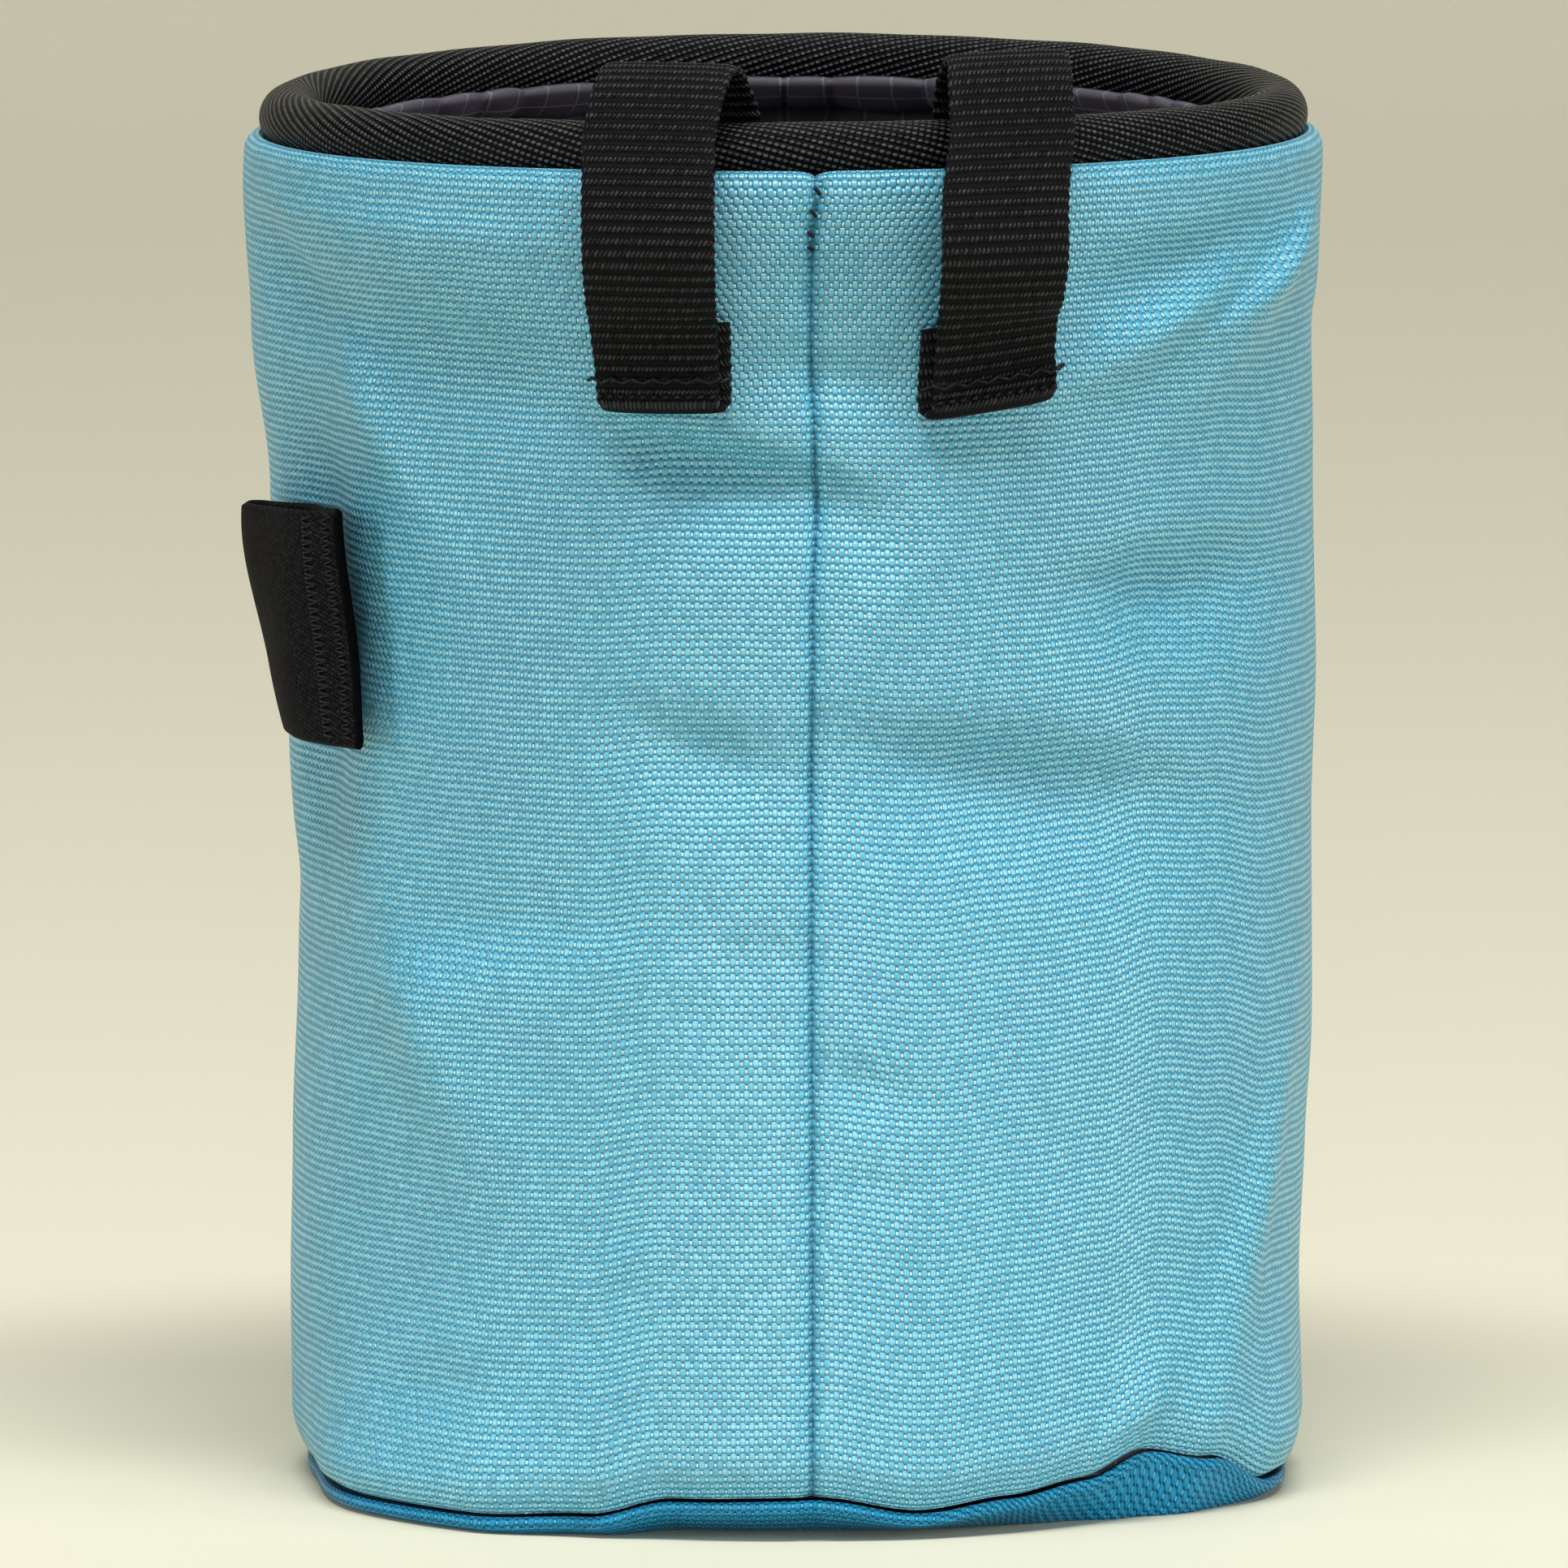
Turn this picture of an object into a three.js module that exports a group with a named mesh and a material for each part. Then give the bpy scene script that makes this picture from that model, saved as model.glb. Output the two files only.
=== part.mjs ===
// Climbing chalk bag: a soft cloth cylinder with a stiff mouth ring, two belt loops and a brush loop.
// The frame has +Z up and its origin in the middle of the flat underside. The belt loops face -Y,
// and an angle is measured round the bag from -Y towards +X.
import * as THREE from 'three';

// Sizes in millimetres
const bagHeight = 170;
const shellRadius = 65.2;
const shellWall = 1.6;
const linerWall = 1.0;
const baseWall = 1.5;
const ringTube = 7.5;
const ringInset = 1.7;
const mouthLean = 0.3;
const mouthSag = 0.9;
const lipDrop = 1.75;
const lipShoulder = 3.2;
const lipTuck = -60;
const seamAngle = 3.3;
const seamDepth = 0.8;
const seamWidth = 2.4;
const hemCurl = 2.2;
const hemCurlHeight = 6;
const hemLift = 0.2;
const foldFade = 12;
const footFade = 20;

// Belt loops of flat webbing
const webWidth = 16;
const webThickness = 1.5;
const loopStand = 7.6;
const loopReach = 34.6;
const loopHem = 11;

// Each belt loop: its angle, its rise over the ring, the sideways shifts of its inside, top and folded
// parts, and the slant of its hem
const leftLoop = { angle: -13.6, rise: 6.8, insideShift: 2.6, topShift: 0.6, foldShift: 1.1, hemTilt: 0.02 };
const rightLoop = { angle: 22.6, rise: 7.8, insideShift: 5.0, topShift: 4.4, foldShift: -1.1, hemTilt: 0.12 };

// Brush loop of flat elastic
const elasticWidth = 28.5;
const elasticThickness = 1.2;
const brushLoopHeight = 107;
const brushSeamAngle = -54.5;
const brushSpan = 26;
const brushGap = 6.6;
const brushTurn = 1.9;
const brushDroop = 1.9;
const brushLean = 2.4;

// Clearances
const sewnGap = 0.3;
const layerGap = 0.3;
const linerEase = 0.7;
const brushSeat = 0.6;

// Liner: its gathers below the ring, the tuck of its lip and the round corner at its floor
const gatherCount = 18;
const gatherDepth = 1.3;
const gatherFade = 16;
const gatherWander = 18;
const linerTuck = 9;
const linerCorner = 4;

// Divisions of the faceted surfaces
const shellColumns = 60;
const linerColumns = 72;
const ringColumns = 48;
const ringSides = 10;

// Places that follow from the sizes
const ringHalf = ringTube / 2;
const ringRadius = shellRadius - ringInset - ringHalf;
const ringHeight = bagHeight - ringHalf;
const shellTop = ringHeight - lipDrop;

// Outline of the shell: half widths as shares of shellRadius, up as a share of shellTop
const sections = [
  { up: 0.00, left: 0.918, right: 0.957, front: 0.945, back: 0.940 },
  { up: 0.05, left: 0.920, right: 0.960, front: 0.950, back: 0.950 },
  { up: 0.14, left: 0.922, right: 0.959, front: 0.955, back: 0.962 },
  { up: 0.25, left: 0.917, right: 0.970, front: 0.962, back: 0.970 },
  { up: 0.37, left: 0.907, right: 0.984, front: 0.968, back: 0.972 },
  { up: 0.49, left: 0.922, right: 0.983, front: 0.972, back: 0.962 },
  { up: 0.61, left: 0.928, right: 0.993, front: 0.978, back: 0.968 },
  { up: 0.73, left: 0.963, right: 0.990, front: 0.980, back: 0.982 },
  { up: 0.85, left: 0.998, right: 0.998, front: 0.990, back: 0.992 },
  { up: 0.94, left: 1.006, right: 0.998, front: 0.998, back: 1.000 },
  { up: 1.00, left: 1.000, right: 1.000, front: 1.000, back: 1.000 },
];

// Creases and ridges of the cloth: angle and tilt in degrees, up as a share of shellTop, and the rest
// as shares of shellRadius. A depth below zero is a valley, and above and below are its two flanks.
const folds = [
  { angle: -63, up: 0.882, tilt: -30, reach: 0.26, above: 0.060, below: 0.105, depth: -0.031 },
  { angle: -36, up: 0.834, tilt: -8, reach: 0.24, above: 0.105, below: 0.090, depth: -0.026 },
  { angle: -8, up: 0.780, tilt: -16, reach: 0.22, above: 0.067, below: 0.134, depth: -0.034 },
  { angle: -9, up: 0.571, tilt: -18, reach: 0.20, above: 0.075, below: 0.112, depth: -0.031 },
  { angle: 24, up: 0.559, tilt: -9, reach: 0.36, above: 0.082, below: 0.150, depth: -0.031 },
  { angle: 50, up: 0.679, tilt: -4, reach: 0.32, above: 0.060, below: 0.125, depth: -0.026 },
  { angle: 48, up: 0.920, tilt: 8, reach: 0.26, above: 0.055, below: 0.100, depth: -0.026 },
  { angle: 64, up: 0.890, tilt: 34, reach: 0.30, above: 0.050, below: 0.065, depth: 0.030 },
  { angle: 10, up: 0.838, tilt: -3, reach: 0.10, above: 0.045, below: 0.052, depth: -0.013 },
  { angle: 9, up: 0.740, tilt: -40, reach: 0.12, above: 0.055, below: 0.060, depth: -0.016 },
  { angle: 13, up: 0.701, tilt: 50, reach: 0.20, above: 0.060, below: 0.060, depth: 0.012 },
  { angle: -44, up: 0.354, tilt: -52, reach: 0.28, above: 0.090, below: 0.105, depth: 0.027 },
  { angle: -40, up: 0.425, tilt: -2, reach: 0.18, above: 0.060, below: 0.070, depth: -0.016 },
  { angle: -3, up: 0.431, tilt: -4, reach: 0.10, above: 0.040, below: 0.067, depth: -0.012 },
  { angle: 9, up: 0.335, tilt: -25, reach: 0.10, above: 0.040, below: 0.067, depth: -0.013 },
  { angle: -38, up: 0.945, tilt: 2, reach: 0.28, above: 0.070, below: 0.065, depth: 0.013 },
  { angle: 61, up: 0.200, tilt: 66, reach: 0.26, above: 0.060, below: 0.050, depth: 0.015 },
  { angle: 43, up: 0.090, tilt: 58, reach: 0.12, above: 0.060, below: 0.060, depth: 0.020 },
  { angle: -44, up: 0.100, tilt: 10, reach: 0.16, above: 0.050, below: 0.060, depth: -0.014 },
  { angle: -71, up: 0.660, tilt: 88, reach: 0.48, above: 0.170, below: 0.170, depth: -0.070 },
  { angle: -98, up: 0.480, tilt: -24, reach: 0.30, above: 0.090, below: 0.120, depth: -0.022 },
  { angle: 102, up: 0.800, tilt: -28, reach: 0.30, above: 0.070, below: 0.110, depth: -0.026 },
  { angle: 112, up: 0.380, tilt: 30, reach: 0.36, above: 0.100, below: 0.110, depth: 0.022 },
  { angle: 150, up: 0.640, tilt: 14, reach: 0.40, above: 0.070, below: 0.140, depth: -0.030 },
  { angle: 178, up: 0.840, tilt: -10, reach: 0.34, above: 0.080, below: 0.120, depth: -0.024 },
  { angle: -158, up: 0.520, tilt: -16, reach: 0.34, above: 0.070, below: 0.130, depth: -0.030 },
  { angle: -135, up: 0.780, tilt: 24, reach: 0.28, above: 0.070, below: 0.100, depth: -0.024 },
  { angle: 172, up: 0.300, tilt: 6, reach: 0.30, above: 0.080, below: 0.120, depth: -0.020 },
  { angle: -132, up: 0.240, tilt: 48, reach: 0.28, above: 0.090, below: 0.090, depth: 0.024 },
];

const deepestFold = shellRadius * Math.max(...folds.map((fold) => -fold.depth));

// Lower seam round the bag: rise is how far it lifts, as a share of bagHeight, floor is the radius of
// the flat underside, as a share of shellRadius, and swell is how far the bag's foot stands out there,
// as a share of its radius. The rows go once round from the back.
const hemLine = [
  { angle: -180, rise: 0.014, floor: 0.80, swell: 0.00 },
  { angle: -150, rise: 0.004, floor: 0.86, swell: 0.01 },
  { angle: -115, rise: 0.009, floor: 0.84, swell: 0.00 },
  { angle: -80, rise: 0.002, floor: 0.88, swell: 0.00 },
  { angle: -53, rise: 0.002, floor: 0.98, swell: 0.08 },
  { angle: -36, rise: 0.002, floor: 0.97, swell: 0.08 },
  { angle: -23, rise: 0.005, floor: 0.88, swell: 0.02 },
  { angle: -13, rise: 0.018, floor: 0.77, swell: 0.00 },
  { angle: 4, rise: 0.020, floor: 0.76, swell: 0.00 },
  { angle: 16, rise: 0.009, floor: 0.78, swell: 0.00 },
  { angle: 27, rise: 0.016, floor: 0.80, swell: 0.00 },
  { angle: 37, rise: 0.024, floor: 0.83, swell: 0.00 },
  { angle: 45, rise: 0.040, floor: 0.88, swell: 0.02 },
  { angle: 54, rise: 0.030, floor: 0.93, swell: 0.06 },
  { angle: 66, rise: 0.005, floor: 0.95, swell: 0.06 },
  { angle: 85, rise: 0.002, floor: 0.90, swell: 0.01 },
  { angle: 120, rise: 0.008, floor: 0.86, swell: 0.00 },
  { angle: 155, rise: 0.003, floor: 0.86, swell: 0.01 },
  { angle: 180, rise: 0.014, floor: 0.80, swell: 0.00 },
];

// Small helpers
const radians = THREE.MathUtils.degToRad;
const clamp = THREE.MathUtils.clamp;
const mix = THREE.MathUtils.lerp;
const ease = (t) => t * t * (3 - 2 * t);
const shareOf = (value, start, end) => clamp((value - start) / (end - start), 0, 1);

// The shorter way round from one angle to another, in degrees
function turnBetween(from, to) {
  return ((to - from + 540) % 360 + 360) % 360 - 180;
}

// Values of a table's rows between two of them, eased so that the surface stays smooth
function between(rows, key, value) {
  let after = rows.findIndex((row) => row[key] >= value);
  after = after < 0 ? rows.length - 1 : Math.max(after, 1);
  const low = rows[after - 1];
  const high = rows[after];
  const t = ease(shareOf(value, low[key], high[key]));
  return Object.fromEntries(Object.keys(low).map((name) => [name, mix(low[name], high[name], t)]));
}

// A point at a radius, an angle in degrees and a height
function around(radius, angle, height) {
  return new THREE.Vector3(radius * Math.sin(radians(angle)), -radius * Math.cos(radians(angle)), height);
}

// Oval section of the shell, whose four half widths come from the outline, with its swollen foot
function ovalRadius(angle, height) {
  const row = between(sections, 'up', clamp(height / shellTop, 0, 1));
  const across = Math.sin(radians(angle));
  const along = Math.cos(radians(angle));
  const side = across < 0 ? row.left : row.right;
  const face = along > 0 ? row.front : row.back;
  const swell = between(hemLine, 'angle', turnBetween(0, angle)).swell * Math.exp(-((height / footFade) ** 2));
  return shellRadius * (1 + swell) / Math.hypot(across / side, along / face);
}

// All folds at one place, in millimetres outwards
function foldRelief(angle, height) {
  let relief = 0;
  for (const fold of folds) {
    const across = radians(turnBetween(fold.angle, angle)) * shellRadius;
    const up = height - fold.up * shellTop;
    const tilt = radians(fold.tilt);
    const along = across * Math.cos(tilt) + up * Math.sin(tilt);
    const off = up * Math.cos(tilt) - across * Math.sin(tilt);
    const flank = (off > 0 ? fold.above : fold.below) * shellRadius;
    const fade = Math.exp(-((along / (fold.reach * shellRadius)) ** 2) - (off / flank) ** 2);
    relief += fold.depth * shellRadius * fade;
  }
  return relief;
}

// How much of the folds shows at a height: none at the two sewn edges
function foldShare(height, hem) {
  const aboveHem = ease(shareOf(height, hem, hem + hemCurlHeight));
  return aboveHem * ease(shareOf(shellTop - height, lipShoulder, foldFade));
}

// Height of the lower seam above the floor
function hemHeight(angle) {
  const row = between(hemLine, 'angle', turnBetween(0, angle));
  return baseWall + sewnGap + hemLift + row.rise * bagHeight;
}

// Radius of the shell's outside, without the rounded lip under the ring
function shellOutside(angle, height) {
  const hem = hemHeight(angle);
  const curl = hemCurl * (1 - shareOf(height, hem, hem + hemCurlHeight)) ** 2;
  const seamOff = radians(turnBetween(seamAngle, angle)) * shellRadius;
  const seam = seamDepth * Math.exp(-((seamOff / (seamWidth / 2)) ** 2));
  return ovalRadius(angle, height) + foldRelief(angle, height) * foldShare(height, hem) - curl - seam;
}

// Middle of the mouth ring's section: the ring leans a little to one side, and both its sides sag
function ringMiddle(angle) {
  const side = Math.sin(radians(angle));
  return { radius: ringRadius, height: ringHeight + mouthLean * side - mouthSag * side ** 2 };
}

// A place off the ring's middle, by a distance and a direction in its section
function offRing(angle, distance, direction) {
  const middle = ringMiddle(angle);
  const turn = radians(direction);
  return around(middle.radius + distance * Math.cos(turn), angle, middle.height + distance * Math.sin(turn));
}

// Closed body from loops of points, joined end to end or closed by a face at each end
function bodyFromLoops(loops, joined) {
  const positions = [];
  const index = [];
  const starts = loops.map((loop) => {
    const start = positions.length / 3;
    loop.forEach((point) => positions.push(point.x, point.y, point.z));
    return start;
  });
  const last = joined ? loops.length : loops.length - 1;
  for (let row = 0; row < last; row += 1) {
    const next = (row + 1) % loops.length;
    const here = loops[row].length;
    const there = loops[next].length;
    for (let column = 0; column < Math.max(here, there); column += 1) {
      const a = starts[row] + column % here;
      const b = starts[row] + (column + 1) % here;
      const c = starts[next] + (column + 1) % there;
      const d = starts[next] + column % there;
      if (a !== b) index.push(a, b, c);
      if (c !== d) index.push(a, c, d);
    }
  }
  if (!joined) {
    const end = loops.length - 1;
    for (let column = 1; column < loops[0].length - 1; column += 1) {
      index.push(starts[0], starts[0] + column + 1, starts[0] + column);
    }
    for (let column = 1; column < loops[end].length - 1; column += 1) {
      index.push(starts[end], starts[end] + column, starts[end] + column + 1);
    }
  }
  const geometry = new THREE.BufferGeometry();
  geometry.setAttribute('position', new THREE.Float32BufferAttribute(positions, 3));
  geometry.setIndex(facingOut(positions, index));
  geometry.computeVertexNormals();
  return geometry;
}

// The same triangles, turned over if the body they close has its inside out
function facingOut(positions, index) {
  const corner = (at) => new THREE.Vector3().fromArray(positions, index[at] * 3);
  let volume = 0;
  for (let at = 0; at < index.length; at += 3) {
    volume += corner(at).dot(corner(at + 1).cross(corner(at + 2)));
  }
  if (volume > 0) return index;
  return index.map((value, at) => index[at + [0, 1, -1][at % 3]]);
}

// Angles round the bag, evenly spaced
function evenAngles(count) {
  return Array.from({ length: count }, (_, step) => -180 + 360 * step / count);
}

// Angles of the shell's columns, with three close ones that cut the groove of the seam
function shellAngles() {
  const groove = THREE.MathUtils.radToDeg(seamWidth * 0.7 / shellRadius);
  const cut = [seamAngle - groove, seamAngle, seamAngle + groove];
  const spacing = 360 / shellColumns;
  const clear = (angle) => Math.abs(turnBetween(seamAngle, angle)) > spacing / 2;
  const rest = evenAngles(shellColumns).filter(clear);
  return [...rest, ...cut].sort((a, b) => a - b);
}

// A named piece with its own material
function piece(name, geometry, colour, roughness) {
  const material = new THREE.MeshStandardMaterial({ color: colour, roughness, metalness: 0 });
  const mesh = new THREE.Mesh(geometry, material);
  mesh.name = name;
  return mesh;
}

// Outer shell: one hollow tube with a lip tucked under the ring and a hem curled in at the floor
function outerShell() {
  const angles = shellAngles();
  const wallShares = [0, 0.02, 0.05, 0.1, 0.16, 0.22, 0.28, 0.34, 0.4, 0.46, 0.52, 0.58, 0.64, 0.7, 0.76,
    0.83, 0.91, 1];
  const shoulderFoot = shellTop - lipShoulder;
  const heightAt = (angle, share) => {
    const hem = hemHeight(angle);
    return hem + (shoulderFoot - hem) * share;
  };
  const wall = wallShares.map((share) => angles.map((angle) => {
    const height = heightAt(angle, share);
    return around(shellOutside(angle, height), angle, height);
  }));
  const lipClear = ringHalf + sewnGap;
  const lipEdge = -THREE.MathUtils.radToDeg(Math.asin(lipDrop / lipClear));
  const shoulder = [30, 60].map((turn) => angles.map((angle) => {
    const foot = shellOutside(angle, shoulderFoot);
    const crest = offRing(angle, lipClear, lipEdge);
    const crestRadius = Math.hypot(crest.x, crest.y);
    const radius = crestRadius + (foot - crestRadius) * Math.cos(radians(turn));
    return around(radius, angle, shoulderFoot + (crest.z - shoulderFoot) * Math.sin(radians(turn)));
  }));
  const lip = [lipEdge, (lipEdge + lipTuck) / 2, lipTuck].map((direction) => angles.map((angle) => (
    offRing(angle, lipClear, direction))));
  const insideTop = 0.985;
  const inside = [...wallShares].reverse().map((share) => angles.map((angle) => {
    const height = heightAt(angle, Math.min(share, insideTop));
    return around(shellOutside(angle, height) - shellWall, angle, height);
  }));
  return piece('outer_shell', bodyFromLoops([...wall, ...shoulder, ...lip, ...inside], true), 0x62b7d3, 0.62);
}

// Mouth ring bound in tape
function rimBinding() {
  const loops = evenAngles(ringColumns).map((angle) => evenAngles(ringSides).map((direction) => (
    offRing(angle, ringHalf, direction))));
  return piece('rim_binding', bodyFromLoops(loops, true), 0x17181b, 0.7);
}

// Radius and height of the lower seam, where the base panel meets the shell
function hemEdge(angle) {
  const height = hemHeight(angle);
  return { radius: shellOutside(angle, height), height };
}

// Underside of the base panel at a share of its radius: flat in the middle, then up to the seam
function baseUnder(angle, share) {
  const edge = hemEdge(angle);
  const row = between(hemLine, 'angle', turnBetween(0, angle));
  const floor = Math.min(row.floor * shellRadius, edge.radius - baseWall);
  const radius = edge.radius * share;
  const climb = shareOf(radius, floor, edge.radius);
  return { radius, height: (edge.height - sewnGap - baseWall) * climb ** 1.4, floor };
}

// Base panel: a shallow dish that rests on its flat middle
function basePanel() {
  const angles = evenAngles(shellColumns);
  const climbs = [0, 0.5, 1];
  const under = climbs.map((climb) => angles.map((angle) => {
    const edge = hemEdge(angle).radius;
    const share = mix(baseUnder(angle, 1).floor / edge, 1, climb);
    const place = baseUnder(angle, share);
    return around(place.radius, angle, place.height);
  }));
  const above = [...climbs].reverse().map((climb) => angles.map((angle) => {
    const edge = hemEdge(angle).radius;
    const share = mix(baseUnder(angle, 1).floor / edge, 1, climb);
    const place = baseUnder(angle, share);
    return around(place.radius, angle, place.height + baseWall);
  }));
  const loops = [[new THREE.Vector3(0, 0, 0)], ...under, ...above, [new THREE.Vector3(0, 0, baseWall)]];
  return piece('base_panel', bodyFromLoops(loops, false), 0x3c93ad, 0.7);
}

// Gathers of the liner: how far the cloth stands in from its loose outline
function gatherRelief(angle, height) {
  const below = Math.max(ringHeight - ringHalf - height, 0);
  const drift = Math.sin(radians(3 * angle + 40)) + Math.sin(radians(7 * angle)) / 2;
  const wave = 0.5 + 0.5 * Math.sin(radians(gatherCount * angle + gatherWander * drift));
  return gatherDepth * wave * Math.exp(-below / gatherFade);
}

// Radius of the liner's outside, which hangs slack inside the deepest fold of the shell
function linerOutside(angle, height) {
  const hem = hemHeight(angle);
  const slack = deepestFold * foldShare(height, hem);
  const curl = hemCurl * (1 - shareOf(height, hem, hem + hemCurlHeight)) ** 2;
  const room = shellWall + sewnGap + linerEase + slack + curl;
  return ovalRadius(angle, height) - room - gatherRelief(angle, height);
}

// Liner: a sack inside the shell, gathered under the ring and lying on the base panel
function liner() {
  const angles = evenAngles(linerColumns);
  const wallTop = shellTop - linerTuck;
  const wallShares = [0, 0.3, 0.6, 0.86, 1];
  const floorShares = [0.45, 0.86];
  const lipDirections = [-84, -118, -146];
  const floorAt = (angle, share) => {
    const height = baseUnder(angle, share).height + baseWall + sewnGap;
    const radius = linerOutside(angle, hemHeight(angle) + hemCurlHeight) * share;
    return { radius, height };
  };
  const footOf = (angle) => floorAt(angle, 1).height + linerCorner;
  const layer = (inward) => {
    const floor = floorShares.map((share) => angles.map((angle) => {
      const place = floorAt(angle, share);
      return around(place.radius, angle, place.height + inward);
    }));
    const wall = wallShares.map((share) => angles.map((angle) => {
      const height = mix(footOf(angle), wallTop, share);
      return around(linerOutside(angle, height) - inward, angle, height);
    }));
    const lip = lipDirections.map((direction) => angles.map((angle) => {
      const ruffle = gatherRelief(angle, ringHeight) / 2;
      return offRing(angle, ringHalf + sewnGap + ruffle + inward, direction);
    }));
    return [...floor, ...wall, ...lip];
  };
  const bottom = baseUnder(0, 0).height + baseWall + sewnGap;
  const loops = [
    [new THREE.Vector3(0, 0, bottom)],
    ...layer(0),
    ...layer(linerWall).reverse(),
    [new THREE.Vector3(0, 0, bottom + linerWall)],
  ];
  return piece('liner', bodyFromLoops(loops, false), 0x2e2d31, 0.55);
}

// Flat strip along a route: each stop gives a radius, height and sideways shift, seat tells how far
// the strip follows the shell's folds there, and tilt lowers one edge
function stripBody(route, angle, width, thickness, edges) {
  const middle = route.map((stop) => new THREE.Vector2(stop.radius, stop.height));
  const loops = route.map((stop, at) => {
    const before = middle[Math.max(at - 1, 0)];
    const after = middle[Math.min(at + 1, route.length - 1)];
    const across = new THREE.Vector2(after.y - before.y, before.x - after.x).normalize();
    const outward = across.multiplyScalar(thickness / 2);
    const face = (turned) => edges.map((edge) => {
      const radius = stop.radius + turned * outward.x;
      const height = stop.height + turned * outward.y + stop.tilt * edge * width;
      const here = angle + THREE.MathUtils.radToDeg((stop.side + edge * width) / radius);
      const folds = stop.seat ? shellOutside(here, stop.height) - shellRadius : 0;
      const flat = radius / Math.cos(edge * width / radius);
      return around(mix(flat, radius + folds, stop.seat), here, height);
    });
    return [...face(1), ...face(-1).reverse()];
  });
  return bodyFromLoops(loops, false);
}

// Smooth run of stops through a few chosen ones
function smoothRoute(stops, count) {
  const places = stops.map((stop) => new THREE.Vector3(stop.radius, stop.height, stop.side));
  const path = new THREE.CatmullRomCurve3(places, false, 'centripetal');
  return path.getPoints(count).map((point, at) => {
    const row = at / count * (stops.length - 1);
    const low = stops[Math.floor(row)];
    const high = stops[Math.min(Math.floor(row) + 1, stops.length - 1)];
    return {
      radius: point.x,
      height: point.y,
      side: point.z,
      seat: mix(low.seat, high.seat, ease(row % 1)),
      tilt: mix(low.tilt, high.tilt, row % 1),
    };
  });
}

// Belt loop: from its seat inside the liner over the ring, out and down to a folded hem on the shell
function beltLoop(name, shape) {
  const half = webThickness / 2;
  const lipReach = (ringHalf + sewnGap + linerWall + gatherDepth / 2) * Math.cos(radians(34));
  const sag = webWidth ** 2 / 8 / ringRadius;
  const insideRadius = ringRadius - lipReach - sewnGap - sag - half;
  const apexHeight = bagHeight + shape.rise - half;
  const hemBottom = bagHeight - loopReach;
  const outerLayer = shellRadius + sewnGap + webThickness + layerGap + half;
  const foldedLayer = shellRadius + sewnGap + half;
  const turnRadius = (outerLayer - foldedLayer) / 2;
  const turnHeight = hemBottom + half + turnRadius;
  const stop = (radius, height, side, seat, tilt) => ({ radius, height, side, seat, tilt });
  const rise = (share) => mix(ringHeight, apexHeight, share);
  const shift = (share) => mix(shape.topShift, shape.insideShift, share);
  const free = smoothRoute([
    stop(insideRadius, ringHeight - ringHalf * 1.3, shift(1), 0, 0),
    stop(insideRadius - half * 0.4, ringHeight, shift(1), 0, 0),
    stop(mix(insideRadius, ringRadius, 0.12), rise(0.62), shift(0.4), 0, 0),
    stop(ringRadius - ringHalf * 0.4, apexHeight, shift(0), 0, 0),
    stop(mix(ringRadius + ringHalf, shellRadius, 0.5), rise(0.76), shape.topShift * 0.5, 0, 0),
    stop(shellRadius + loopStand * 0.8, ringHeight - ringHalf, 0, 0, 0),
    stop(shellRadius + loopStand, ringHeight - loopReach * 0.32, 0, 0, 0),
    stop(shellRadius + loopStand * 0.76, ringHeight - loopReach * 0.48, 0, 0.2, 0),
    stop(outerLayer + layerGap * 2, hemBottom + loopHem * 0.95, 0, 0.8, shape.hemTilt * 0.6),
    stop(outerLayer, hemBottom + loopHem * 0.5, 0, 1, shape.hemTilt),
  ], 26);
  const hemTop = stop(outerLayer, turnHeight, 0, 1, shape.hemTilt);
  const turn = [36, 72, 108, 144].map((direction) => stop(
    (outerLayer + foldedLayer) / 2 + turnRadius * Math.cos(radians(direction)),
    turnHeight - turnRadius * Math.sin(radians(direction)),
    shape.foldShift * direction / 180,
    1,
    shape.hemTilt,
  ));
  const folded = [
    stop(foldedLayer, turnHeight, shape.foldShift, 1, shape.hemTilt),
    stop(foldedLayer, hemBottom + loopHem * 0.5, shape.foldShift, 1, shape.hemTilt),
    stop(foldedLayer, hemBottom + loopHem, shape.foldShift, 1, shape.hemTilt),
  ];
  const route = [...free, hemTop, ...turn, ...folded];
  const strip = stripBody(route, shape.angle, webWidth, webThickness, [-0.5, -0.17, 0.17, 0.5]);
  return piece(name, strip, 0x141416, 0.6);
}

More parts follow.
